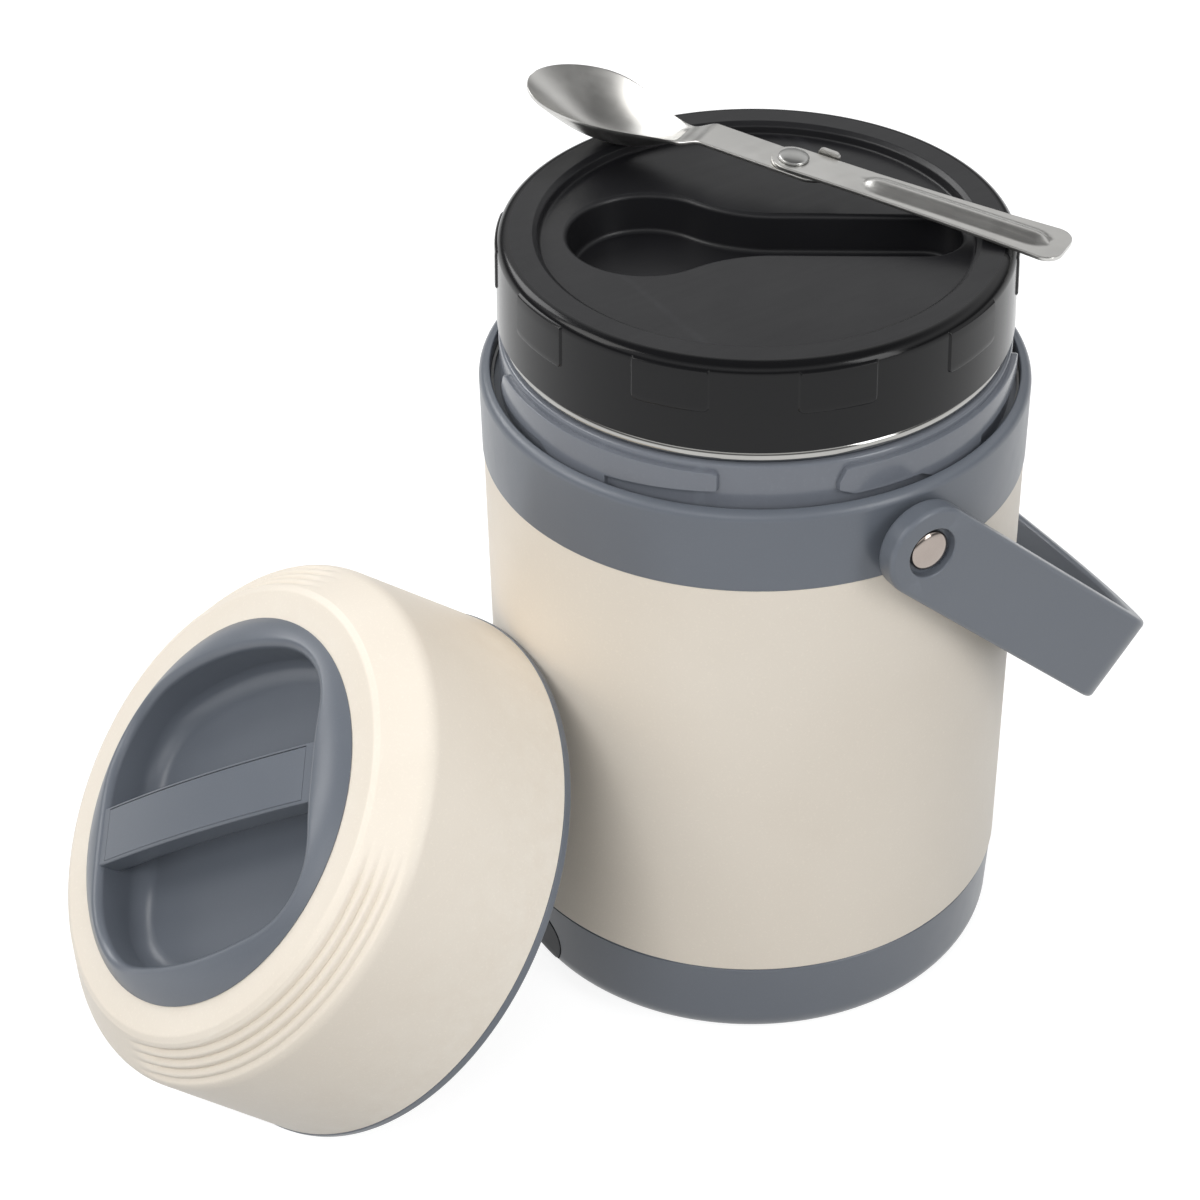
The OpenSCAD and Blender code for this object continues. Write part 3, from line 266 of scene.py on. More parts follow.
NUMBER, COLOUR, DIRECTION = "NodeSocketFloat", "NodeSocketColor", "NodeSocketVector"


def tint(red, green, blue):
    """A linear colour from display values of 0 to 255."""
    def line(c):
        c /= 255
        return c / 12.92 if c <= 0.04045 else ((c + 0.055) / 1.055) ** 2.4
    return (line(red), line(green), line(blue), 1.0)


def lighter(colour, gain, lift=0.0):
    return tuple(min(c * gain + lift, 1) for c in colour[:3]) + (1.0,)


def put(tree, kind, settings=None, **sockets):
    """Adds a node. Its inputs are given by name, with _ for a space, or by number as in0, in1."""
    node = tree.nodes.new(kind)
    for key, value in (settings or {}).items():
        setattr(node, key, value)
    for key, value in sockets.items():
        number = key[2:]
        by_number = key.startswith("in") and number.isdigit()
        socket = node.inputs[int(number) if by_number else key.replace("_", " ")]
        if isinstance(value, bpy.types.NodeSocket):
            tree.links.new(value, socket)
        else:
            socket.default_value = value
    return node


def calc(tree, how, *numbers, clamp=False):
    """The result of a Math node."""
    node = put(tree, "ShaderNodeMath", {"operation": how, "use_clamp": clamp},
               **{f"in{i}": number for i, number in enumerate(numbers)})
    return node.outputs[0]


def ramp(tree, value, low, high, start=0.0, end=1.0):
    """A value that runs from start to end while another runs from low to high."""
    return put(tree, "ShaderNodeMapRange", Value=value, From_Min=low, From_Max=high, To_Min=start,
               To_Max=end).outputs[0]


def blend(tree, share, first, second):
    return put(tree, "ShaderNodeMix", in0=share, in2=first, in3=second).outputs[0]


def blend_colours(tree, share, first, second):
    return put(tree, "ShaderNodeMix", {"data_type": "RGBA"}, in0=share, A=first, B=second).outputs["Result"]


def noise(tree, where, scale, **sockets):
    return put(tree, "ShaderNodeTexNoise", Vector=where, Scale=scale, **sockets).outputs["Fac"]


def place_of(tree):
    return put(tree, "ShaderNodeTexCoord").outputs["Object"]


def effect(name, inputs, outputs):
    """A shader node group with named inputs (name, kind, default) and outputs (name, kind)."""
    group = bpy.data.node_groups.new(name, "ShaderNodeTree")
    for label, kind, value in inputs:
        socket = group.interface.new_socket(label, in_out="INPUT", socket_type=kind)
        socket.default_value = value
    for label, kind in outputs:
        group.interface.new_socket(label, in_out="OUTPUT", socket_type=kind)
    return group, group.nodes.new("NodeGroupInput").outputs, group.nodes.new("NodeGroupOutput").inputs


# Effects that several materials share

def make_moulded_grain():
    """The fine spark-eroded texture of a plastic mould, as a height and as pale flecks."""
    group, given, result = effect(
        "moulded grain", [("Scale", NUMBER, 1500.0), ("Coarseness", NUMBER, 0.5)],
        [("Height", NUMBER), ("Fleck", NUMBER)])
    where = place_of(group)
    fine = noise(group, where, given["Scale"], Detail=3.0, Roughness=0.65)
    wide = calc(group, "MULTIPLY", given["Scale"], 0.37)
    cells = put(group, "ShaderNodeTexVoronoi", {"feature": "SMOOTH_F1"}, Vector=where, Scale=wide)
    height = blend(group, given["Coarseness"], fine, cells.outputs["Distance"])
    group.links.new(height, result["Height"])
    group.links.new(ramp(group, fine, 0.55, 0.8), result["Fleck"])
    return group


def make_handling():
    """Finger smudges and wiped streaks: roughness that drifts about a middle value."""
    group, given, result = effect(
        "handling", [("Roughness", NUMBER, 0.4), ("Spread", NUMBER, 0.1), ("Scale", NUMBER, 30.0)],
        [("Roughness", NUMBER)])
    where = place_of(group)
    patches = noise(group, where, given["Scale"], Detail=6.0, Roughness=0.6, Distortion=0.6)
    squashed = put(group, "ShaderNodeMapping", Vector=where, Rotation=(0.3, 0.2, 0.7),
                   Scale=(1.0, 0.12, 0.35)).outputs[0]
    streaks = noise(group, squashed, 420.0, Detail=4.0)
    centred = calc(group, "SUBTRACT", blend(group, 0.35, patches, streaks), 0.5)
    swing = calc(group, "MULTIPLY", given["Spread"], 3.0)
    spread = calc(group, "MULTIPLY_ADD", centred, swing, given["Roughness"], clamp=True)
    group.links.new(spread, result["Roughness"])
    return group


def make_tint_drift():
    """Colour that drifts slowly between a tint and a shade, with pale flecks in it."""
    group, given, result = effect(
        "tint drift", [("Tint", COLOUR, (0.8, 0.8, 0.8, 1)), ("Shade", COLOUR, (0.7, 0.7, 0.7, 1)),
                       ("Pale", COLOUR, (0.9, 0.9, 0.9, 1)), ("Scale", NUMBER, 12.0), ("Fleck", NUMBER, 0.0)],
        [("Color", COLOUR)])
    clouds = noise(group, place_of(group), given["Scale"], Detail=5.0, Roughness=0.55)
    colour = blend_colours(group, ramp(group, clouds, 0.3, 0.7), given["Tint"], given["Shade"])
    speck = calc(group, "MULTIPLY", given["Fleck"], 0.25)
    group.links.new(blend_colours(group, speck, colour, given["Pale"]), result["Color"])
    return group


def make_edge_wear():
    """A mask that is strongest on convex edges, broken up as rubbing breaks it."""
    group, given, result = effect("edge wear", [("Amount", NUMBER, 0.5)], [("Wear", NUMBER)])
    sharp = put(group, "ShaderNodeNewGeometry").outputs["Pointiness"]
    edge = ramp(group, sharp, 0.53, 0.66)
    rub = noise(group, place_of(group), 160.0, Detail=6.0, Roughness=0.7)
    mask = calc(group, "MULTIPLY", edge, ramp(group, rub, 0.35, 0.65))
    group.links.new(calc(group, "MULTIPLY", mask, given["Amount"], clamp=True), result["Wear"])
    return group


def make_drawn_lines():
    """Fine lines along X of the given vector, as a height and as a mask."""
    group, given, result = effect(
        "drawn lines", [("Vector", DIRECTION, (0, 0, 0)), ("Scale", NUMBER, 3000.0)],
        [("Height", NUMBER), ("Lines", NUMBER)])
    long = put(group, "ShaderNodeMapping", Vector=given["Vector"], Scale=(0.02, 1.0, 1.0)).outputs[0]
    lines = noise(group, long, given["Scale"], Detail=4.0, Roughness=0.7)
    rare = noise(group, long, 700.0, Detail=2.0)
    height = blend(group, 0.4, lines, rare)
    group.links.new(height, result["Height"])
    group.links.new(ramp(group, height, 0.35, 0.65), result["Lines"])
    return group


GRAIN, HANDLING, DRIFT = make_moulded_grain(), make_handling(), make_tint_drift()
WEAR, LINES = make_edge_wear(), make_drawn_lines()


# Materials

def use(tree, group, **sockets):
    return put(tree, "ShaderNodeGroup", {"node_tree": group}, **sockets).outputs


def new_material(name):
    material = bpy.data.materials.new(name)
    material.use_nodes = True
    tree = material.node_tree
    tree.nodes.clear()
    shader = tree.nodes.new("ShaderNodeBsdfPrincipled")
    output = tree.nodes.new("ShaderNodeOutputMaterial")
    tree.links.new(shader.outputs[0], output.inputs["Surface"])
    return material, tree, shader


def set_shader(shader, **values):
    for key, value in values.items():
        shader.inputs[key.replace("_", " ")].default_value = value


def join_shader(tree, shader, colour, roughness, height, depth):
    """Leads a colour, a roughness and a height of some depth into the shader."""
    bump = put(tree, "ShaderNodeBump", Strength=1.0, Distance=depth * MM, Height=height)
    tree.links.new(colour, shader.inputs["Base Color"])
    tree.links.new(roughness, shader.inputs["Roughness"])
    tree.links.new(bump.outputs[0], shader.inputs["Normal"])


def plastic(name, colour, shade, roughness, spread=0.08, grain=1500.0, depth=0.012, coarseness=0.4,
            wear=0.25, worn=None, **shader_values):
    """Moulded plastic: drifting colour, grain in the mould, smudges and slightly rubbed edges."""
    material, tree, shader = new_material(name)
    texture = use(tree, GRAIN, Scale=grain, Coarseness=coarseness)
    colours = use(tree, DRIFT, Tint=colour, Shade=shade, Pale=lighter(colour, 1.25), Scale=11.0,
                  Fleck=texture["Fleck"])
    rubbed = use(tree, WEAR, Amount=wear)
    mixed = blend_colours(tree, rubbed["Wear"], colours["Color"], worn or lighter(colour, 1.5, 0.02))
    smudged = use(tree, HANDLING, Roughness=roughness, Spread=spread, Scale=26.0)
    join_shader(tree, shader, mixed, smudged["Roughness"], texture["Height"], depth)
    set_shader(shader, **shader_values)
    return material


def unrolled(tree, where, run_radius=0.07):
    """A place given as its run round the jar's axis, its distance from the axis and its height."""
    apart = put(tree, "ShaderNodeSeparateXYZ", Vector=where).outputs
    flat = put(tree, "ShaderNodeCombineXYZ", X=apart["X"], Y=apart["Y"]).outputs[0]
    radius = put(tree, "ShaderNodeVectorMath", {"operation": "LENGTH"}, in0=flat).outputs["Value"]
    run = calc(tree, "MULTIPLY", calc(tree, "ARCTAN2", apart["Y"], apart["X"]), run_radius)
    return put(tree, "ShaderNodeCombineXYZ", X=run, Y=radius, Z=apart["Z"]).outputs[0]


def metal(name, colour, shade, roughness, spread, turn=(0, 0, 0), depth=0.004, around_axis=False):
    """Metal with drawn lines, along X turned by the given angles, or round the jar's axis."""
    material, tree, shader = new_material(name)
    where = place_of(tree)
    if around_axis:
        where = unrolled(tree, where)
    else:
        where = put(tree, "ShaderNodeMapping", {"vector_type": "TEXTURE"}, Vector=where,
                    Rotation=[math.radians(a) for a in turn]).outputs[0]
    lines = use(tree, LINES, Vector=where, Scale=3000.0)
    clouds = use(tree, DRIFT, Tint=colour, Shade=shade, Pale=lighter(colour, 1.12), Scale=30.0,
                 Fleck=lines["Lines"])
    smudged = use(tree, HANDLING, Roughness=roughness, Spread=spread, Scale=60.0)
    scored = calc(tree, "MULTIPLY_ADD", lines["Lines"], spread * 0.6, smudged["Roughness"], clamp=True)
    join_shader(tree, shader, clouds["Color"], scored, lines["Height"], depth)
    set_shader(shader, Metallic=1.0)
    return material


# How the spoon lies: its direction seen from above, and its tilt
SPOON_AZ, SPOON_TILT = 29.6, 5.753

cream = plastic("cream satin plastic", tint(228, 219, 206), tint(222, 212, 198), 0.44, grain=1300.0,
                depth=0.010)
slate = plastic("slate satin plastic", tint(101, 106, 114), tint(95, 100, 108), 0.33, grain=1500.0,
                depth=0.008)
slate_gloss = plastic("slate polished plastic", tint(112, 116, 124), tint(106, 110, 118), 0.17,
                      spread=0.05, grain=900.0, depth=0.0006)
black = plastic("black satin plastic", tint(25, 25, 27), tint(21, 21, 23), 0.36, grain=1600.0,
                depth=0.006, worn=tint(60, 60, 64), Specular_IOR_Level=0.38)
black_gloss = plastic("black polished plastic", tint(17, 17, 19), tint(14, 14, 15), 0.15, spread=0.05,
                      grain=800.0, depth=0.0006, worn=tint(54, 54, 56), Specular_IOR_Level=0.24)
silicone = plastic("silicone", tint(150, 150, 148), tint(138, 138, 136), 0.5, grain=900.0, depth=0.01,
                   wear=0.0)
rubber = plastic("dark rubber", tint(52, 54, 58), tint(44, 46, 50), 0.6, grain=1100.0, depth=0.03,
                 coarseness=0.7)
cover_plastic = plastic("cover plastic", tint(58, 59, 62), tint(50, 51, 54), 0.45, grain=1200.0,
                        depth=0.03, coarseness=0.8)
liner_white = plastic("liner plastic", tint(214, 214, 210), tint(204, 204, 200), 0.3, depth=0.006)
foam = plastic("foam", tint(240, 238, 228), tint(226, 222, 208), 0.8, grain=420.0, depth=0.25,
               coarseness=0.9, wear=0.0)
lead_red = plastic("red lead sleeve", tint(150, 36, 30), tint(132, 30, 26), 0.45, grain=1200.0, wear=0.0)
lead_blue = plastic("blue lead sleeve", tint(44, 66, 140), tint(38, 56, 122), 0.45, grain=1200.0,
                    wear=0.0)
rim_steel = metal("polished steel", tint(170, 169, 166), tint(158, 157, 154), 0.09, 0.04,
                  around_axis=True, depth=0.002)
spoon_steel = metal("satin steel", tint(208, 207, 204), tint(198, 197, 194), 0.32, 0.10,
                    turn=(0, SPOON_TILT, SPOON_AZ))
well_metal = metal("drawn aluminium", tint(206, 207, 208), tint(190, 191, 193), 0.3, 0.1,
                   around_axis=True, depth=0.006)
plated = metal("plated steel", tint(190, 190, 188), tint(170, 170, 168), 0.28, 0.1)
# The warm tint in this chrome's colour is a painted warm reflection, not the metal's own colour.
chrome = metal("chrome", tint(168, 158, 151), tint(158, 148, 141), 0.12, 0.03, depth=0.001)
brass = metal("brass", tint(214, 170, 100), tint(190, 146, 82), 0.3, 0.1)


# Sizes that several pieces of the jar share

BODY_LOW, BODY_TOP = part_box("outer_shell")[0].z / MM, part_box("outer_shell")[1].z / MM
BAND_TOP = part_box("food_bowl")[1].z / MM
LIP_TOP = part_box("bowl_lid")[1].z / MM
BODY_R, BODY_TOP_R, BODY_WALL = 73.7, 75.3, 2.4
FOOT_C, FOOT_R, FOOT_WALL = (63.3, 9.4), 9.0, 2.6
BASE_R, BASE_TOP = 73.3, 26.8
COLLAR_TOP, GROOVE_Z, NECK_TOP, NECK_R = 186.2, 181.0, 197.6, 70.2
PIVOT_Z = 171.2


def body_side(z):
    return between(z, [(BODY_LOW, BODY_R), (BODY_TOP, BODY_TOP_R)])


def pivot_place(side):
    """Where the bail turns on the jar: local Z points out of the jar on the side at 0 or at 180."""
    return spun(side) @ shifted(0, 0, PIVOT_Z) @ spun(90, "Y")


# Body and base

def make_body():
    shell = turned(rounded([
        (BODY_R, BODY_LOW, 0.5), (BODY_TOP_R, BODY_TOP, 0.4), (BODY_TOP_R - BODY_WALL, BODY_TOP),
        (BODY_R - BODY_WALL, BODY_LOW)]))
    finish(solid("body_shell", shell), "jar", [cream], ["outer_shell"])


INLET_AZ, INLET_Z = -93, 12.0
INLET_W, INLET_H = 27, 16.4
NOSE_W, NOSE_H = 17, 9
PLUG_W, PLUG_H = 12.4, 4.6


def foot_side(out):
    """The base ring's outer side from foot to upper edge, moved outwards."""
    return arc(FOOT_C, FOOT_R + out, -90, 0, 20) + [(BASE_R + out, BASE_TOP)]


def side_core(out):
    """The solid inside the base ring's outer side, moved outwards."""
    side = foot_side(out)
    return turned_sheet([(0, side[0][1])] + side + [(0, side[-1][1])])


def pill(width, height, near, far, grow=0.0):
    """A slab with round ends that stands in the inlet's direction, between two distances from Z."""
    half, radius = (width - height) / 2, height / 2 + grow
    outline = arc((half, 0), radius, -90, 90, 20) + arc((-half, 0), radius, 90, 270, 20)
    outwards = Matrix(((0, 0, 1, 0), (1, 0, 0, 0), (0, 1, 0, 0), (0, 0, 0, 1)))
    return moved(prism(outline, near, far), spun(INLET_AZ) @ shifted(0, 0, INLET_Z) @ outwards)


def make_base():
    near, far, floor, skin_in = 50, 82, 4.5, 1.3
    bend = arc(FOOT_C, FOOT_R - FOOT_WALL, 0, -25.5, 8)
    spigot = [(72.5, 27.6), (71.1, 27.6), (71.1, 35.6), (69.1, 35.6), (69.1, 26.6), (70.7, 23.6)]
    ring = solid("base_body", turned(
        [(61, 0.4)] + foot_side(0) + spigot + bend + [(47.5, 6.6), (47.5, 4.1), (61, 4.1)]))
    for k in range(3):
        spot = spun(90 + 120 * k) @ shifted(52, 0, 0)
        carve(ring, solid("pillar", moved(post(3.5, floor, 37.4), spot)), "UNION")
    for k in range(4):
        spot = spun(45 + 90 * k) @ shifted(55.5, 0, 0)
        carve(ring, solid("boss", moved(post(4, floor, 14.1), spot)), "UNION")
        carve(ring, solid("bore", moved(post(1.55, 3, 12.1, 24), spot)))
    room = solid("room", pill(INLET_W, INLET_H, near, far, 0.4))
    carve(room, solid("core", side_core(-1.5)))
    carve(ring, room)
    carve(ring, solid("nose_hole", pill(NOSE_W, NOSE_H, 55, far, 0.2)))
    finish(ring, "jar", [slate], ["base_ring"])

    flap = solid("inlet_cover", side_core(0.2))
    carve(flap, solid("core", side_core(-skin_in)))
    carve(flap, solid("room", pill(INLET_W, INLET_H, near, far)), "INTERSECT")
    soften(flap, 0.35)
    carve(flap, solid("plug", pill(PLUG_W, PLUG_H, 69.6, 71.4)), "UNION")
    finish(flap, "inlet_cover", [rubber], ["inlet_flap"])


# Collar and neck

# A locking rib unrolled on the neck, as (angle, height) along its lower and its upper edge
RIB_LOW = [(-16, 189), (-12, 186.9), (4, 186.9), (13, 180.6), (23.1, 180.6), (23.4, 187.3), (48, 189.8),
           (49, 190.6)]
RIB_HIGH = [(-16, 190.5), (-14.2, 195.1), (-13, 195.6), (47.6, 195.6), (48.6, 195.1), (49, 194.4)]
RIB_PROUD, RIB_FROM, RIB_TO, RIB_RAMP = 1.6, -16.15, 49.15, 0.5


def rib_section(a):
    inside, nick = 69.4, 0.15
    z0, z1 = between(a, RIB_LOW), between(a, RIB_HIGH)
    proud = RIB_PROUD * ease(min((a - RIB_FROM) / RIB_RAMP, (RIB_TO - a) / RIB_RAMP, 1))
    r = NECK_R + proud
    e = 0.5 if proud > 1 else 0.3
    return [(inside, z0), (r - e, z0), (r - nick, z0 + nick), (r, z0 + e), (r, z1 - e), (r - nick, z1 - nick),
            (r - e, z1), (inside, z1)]


def make_collar():
    web = GROOVE_Z - 3
    collar = solid("collar_band", turned(rounded([
        (72.6, BODY_TOP), (75.6, BODY_TOP, 0.5), (76, COLLAR_TOP, 2.6), (72.8, COLLAR_TOP, 0.45),
        (72.8, GROOVE_Z, 0.6), (68.5, GROOVE_Z), (68.5, web), (72.6, web)])))
    boss_r, boss_in, boss_out = 8, 69.1, 76.9
    boss = turned_sheet(
        [(0, boss_in), (boss_r, boss_in)]
        + rounded([(boss_r, 74), (boss_r, boss_out, 0.3), (0, boss_out)], closed=False) + [(0, boss_out)], 64)
    for side in (0, 180):
        carve(collar, solid("boss", moved(boss, pivot_place(side))), "UNION")
    finish(collar, "jar", [slate], ["collar_ring"])

    inside, inside_low, step, low = 67.8, 66.8, 190, 178.4
    neck = solid("bayonet_neck", turned(rounded([
        (inside, step), (inside, NECK_TOP, 0.5), (NECK_R, NECK_TOP, 1.0), (NECK_R, low), (inside_low, low),
        (inside_low, step)])))
    angles = sorted({a for a, _ in RIB_LOW + RIB_HIGH} | {-15.6, -15.2, 48.8}
                    | {-15 + 1.5 * k for k in range(43)})
    rib = swept(angles, rib_section)
    for k in range(4):
        carve(neck, solid("rib", moved(rib, spun(90 * k))), "UNION")
    finish(neck, "jar", [slate_gloss])


# Food bowl

def make_bowl():
    outer_r, wall, corner, low, rim, straight = 65.4, 0.8, 14, 42.5, 69.4, 100
    inner_r = outer_r - wall
    bend = (outer_r - corner, low + corner)
    side = rounded([(outer_r, straight), (outer_r, NECK_TOP, 0.4), (rim, NECK_TOP, 1.9),
                    (rim, BAND_TOP, 1.95), (inner_r, BAND_TOP, 1.0), (inner_r, straight)],
                   closed=False, steps=8)
    shape = turned_sheet([(0, low)] + arc(bend, corner, -90, 0, 16) + side
                         + arc(bend, corner - wall, 0, -90, 16) + [(0, low + wall)])
    finish(solid("steel_bowl", shape), "bowl", [rim_steel], ["food_bowl"])


# Bowl lid

LIP_R, SKIRT_R = 3.4, 70.5
DISH_Z, ROOF_Z, RECESS_Z = LIP_TOP - 3.4, LIP_TOP - 5.8, LIP_TOP - 14.9
RECESS = spun(56.7) @ shifted(0, 2.4, 0)


def recess_outline(out, z):
    """The spoon recess seen from above, moved outwards."""
    turn = 54.37
    handle_end, handle_half = 45.2, 10.2
    waist, waist_r = (4.84, 48.2), 38
    bowl_at, bowl_r = -29.7, 21.3
    half = arc((handle_end, 0), handle_half + out, 0, 90, 24) \
        + [(35 - 10 * k, handle_half + out) for k in range(3)] \
        + arc(waist, waist_r - out, -90, -180 + turn, 20)[:-1] \
        + arc((bowl_at, 0), bowl_r + out, turn, 180, 36)
    return [tuple(RECESS @ Vector(p)) for p in at_height(mirrored(half), z)]


def make_bowl_lid():
    plug_in, plug_out, plug_z, skirt_in = 62, 63.6, 197.8, 67.6
    dish_r, rim_r, fillet_r = 57.7, 1.5, 1.6
    side = rounded([
        (plug_in, ROOF_Z), (plug_in, plug_z), (plug_out, plug_z), (plug_out, ROOF_Z), (skirt_in, ROOF_Z),
        (skirt_in, BAND_TOP), (SKIRT_R, BAND_TOP, 0.6), (70.0, LIP_TOP, LIP_R), (60.4, LIP_TOP, 1.0),
        (58.9, LIP_TOP - 1.0, 1.0), (58.5, DISH_Z, 0.8), (dish_r, DISH_Z)], closed=False)
    quarter = range(0, 91, 15)
    rim = [(rim_r - rim_r * sind(a), DISH_Z - rim_r + rim_r * cosd(a)) for a in quarter]
    fillet = [(-0.4 - fillet_r + fillet_r * cosd(a), RECESS_Z + fillet_r - fillet_r * sind(a))
              for a in quarter]
    well = pocket_skin([recess_outline(out, z) for out, z in rim + fillet + [(-4.5, RECESS_Z)]])
    under = pocket_skin([recess_outline(2.4, ROOF_Z), recess_outline(2.0, RECESS_Z - 1.4),
                         recess_outline(1.0, RECESS_Z - 2.4)])
    shapes = [turned_sheet(side), well, under,
              flat_ring(circle(dish_r, DISH_Z), recess_outline(rim_r, DISH_Z)),
              flat_ring(circle(plug_in, ROOF_Z), recess_outline(2.4, ROOF_Z))]

    def satin_or_polished(centre, normal):
        """Satin in the dish and the recess, polished on the lip, the skirt and below."""
        inside = Vector((centre.x, centre.y)).length < 66.4
        return 0 if inside and centre.z > RECESS_Z - 0.5 and normal.z > -0.5 else 1

    finish(solid("lunch_lid", *shapes), "inner_lid", [black, black_gloss], ["bowl_lid"],
           pick=satin_or_polished)


def skirt_side(z):
    """The radius of the bowl lid's side, rounded at the lip."""
    over = z - (LIP_TOP - LIP_R)
    if over <= 0:
        return between(z, [(BAND_TOP, SKIRT_R), (LIP_TOP - LIP_R, 70.05)])
    return 66.62 + math.sqrt(max(LIP_R ** 2 - over ** 2, 0))


def make_grip_pads():
    low, high, proud, round_r, edge = LIP_TOP - 14.6, LIP_TOP - 1.8, 0.65, 2.4, 0.7
    half, skirt_r, sunk, root = 9.0, 70, 0.12, 0.8
    reach = math.radians(half) * skirt_r
    angles = sorted({s * half * (1 - (1 - k / 10) ** 2) for k in range(11) for s in (-1, 1)}
                    | {s * (half - e) for e in (0.12, 0.28, 0.45, 0.62, 0.8) for s in (-1, 1)})

    def section(a):
        into = reach - abs(math.radians(a) * skirt_r)
        corner = round_r - math.sqrt(max(round_r ** 2 - (round_r - into) ** 2, 0)) if into < round_r else 0
        z0 = low + corner
        lift = proud * ease(into) - sunk
        zs = [z0, z0 + 0.3, z0 + edge] + [z0 + edge + (high - z0 - 2 * edge) * k / 8 for k in range(1, 8)] \
            + [high - edge, high - 0.3, high]
        ups = [-sunk, lift * 0.6] + [lift] * 9 + [lift * 0.6, -sunk]
        outer = [(skirt_side(z) + up, z) for z, up in zip(zs, ups)]
        return [(skirt_side(z0) - root, z0)] + outer + [(skirt_side(high) - root, high)]

    pad = swept(angles, section)
    pads = [moved(pad, spun(-16 + 36 * k)) for k in range(10)]
    finish(solid("grip_pads", *pads), "inner_lid", [black_gloss])


# Folding spoon

SPOON = shifted(-14.2, 21, 233.621) @ spun(SPOON_AZ) @ spun(SPOON_TILT, "Y")
SHEET = 1.2
SHANK_HALF, BOWL_HALF = 5.9, 14.75


def sheet_ring(x, half, top, sink=0.0, lift=0.0, flat=0.0, rise=0.0, ridge=4.6):
    """One cross-section of a metal sheet at x: dished, lifted at its sides or raised along a ridge."""
    ease_r = min(0.35, half * 0.4)
    ys = [-half + ease_r * (1 - cosd(90 * k / 3)) for k in range(3)]
    ys += [-half + ease_r + (2 * half - 2 * ease_r) * k / 30 for k in range(31)]
    ys += [-y for y in reversed(ys[:3])]

    def level(y):
        v = y / half
        over = 0.5 + 0.5 * math.cos(math.pi * y / ridge) if abs(y) < ridge else 0
        return top - sink * (1 - v * v) + lift * (1 - (1 - v * v) * (1 - flat)) + rise * over ** 0.8

    def drop(y):
        edge = half - abs(y)
        return ease_r - math.sqrt(max(ease_r ** 2 - (ease_r - edge) ** 2, 0)) if edge < ease_r else 0

    upper = [(x, y, level(y) - drop(y)) for y in ys]
    lower = [(x, y, level(y) - SHEET + drop(y)) for y in ys]
    return upper + lower[::-1]


def spoon_half(u, neck=5.3, widest=0.6):
    """Half the width of the spoon's bowl, at a share of its length from the neck."""
    if u < widest:
        return neck + (BOWL_HALF - neck) * sind(90 * u / widest) ** 1.5
    return BOWL_HALF * math.sqrt(max(1 - ((u - widest) / (1 - widest)) ** 2, 0))


def spoon_front_rings():
    """Cross-sections from the pivot's round end, down the step and out to the bowl's tip."""
    step_x, step_l, step_down, bowl_x, bowl_l = -25.5, 8.0, 3, -34, 48
    rings = []
    for k in range(9):
        a = 84 - 84 * k / 8
        rings.append(sheet_ring(11 - SHANK_HALF * (1 - sind(a)), SHANK_HALF * cosd(a), SHEET))
    for x in (0, -8, -16, -22, step_x):
        rings.append(sheet_ring(x, SHANK_HALF, SHEET))
    for k in range(1, 15):
        down = ease(k / 14)
        rings.append(sheet_ring(step_x - step_l * k / 14, SHANK_HALF - 0.6 * down, SHEET - step_down * down))
    for k in range(1, 45):
        u = 1 - (1 - k / 45) ** 1.5
        sink = 8 * max(math.sin(math.pi * u ** 0.85), 0) ** 0.9
        lift = 2.3 * sind(90 * min(u / 0.7, 1)) ** 2
        rings.append(sheet_ring(bowl_x - bowl_l * u, max(spoon_half(u), 0.5), SHEET - step_down, sink, lift,
                                ease((u - 0.55) / 0.45)))
    return rings


def spoon_grip_rings(base):
    """Cross-sections of the handle from the pivot's round end, along the ridge and out to the tip."""
    widths = [(0, 6.1), (10, 6.0), (23, 6.0), (47, 6.7), (61, 7.3), (75, 8.2)]
    end_r, tip_x, tip_r, tip_flat = 6.1, 75, 5, 3.2
    ridge_x, ridge_l, ridge_rise, ridge_half = 21, 54, 1.9, 4.6
    rings = []
    for k in range(12):
        a = 86 - 86 * k / 11
        rings.append(sheet_ring(-end_r * sind(a), end_r * cosd(a), base))
    for x in (4, 8, 12, 16, 19, ridge_x):
        rings.append(sheet_ring(x, between(x, widths), base))
    for k in range(1, 41):
        x = ridge_x + ridge_l * k / 40
        out = max((26.5 - x) / 5, (x - 69.5) / 5, 0)
        full = math.sqrt(max(1 - out * out, 0))
        rings.append(sheet_ring(x, between(x, widths), base, rise=ridge_rise * full,
                                ridge=max(ridge_half * full, 0.5)))
    for k in range(1, 11):
        a = 90 * k / 10
        rings.append(sheet_ring(tip_x + 4.95 * sind(a), tip_flat + tip_r * cosd(a), base))
    return rings


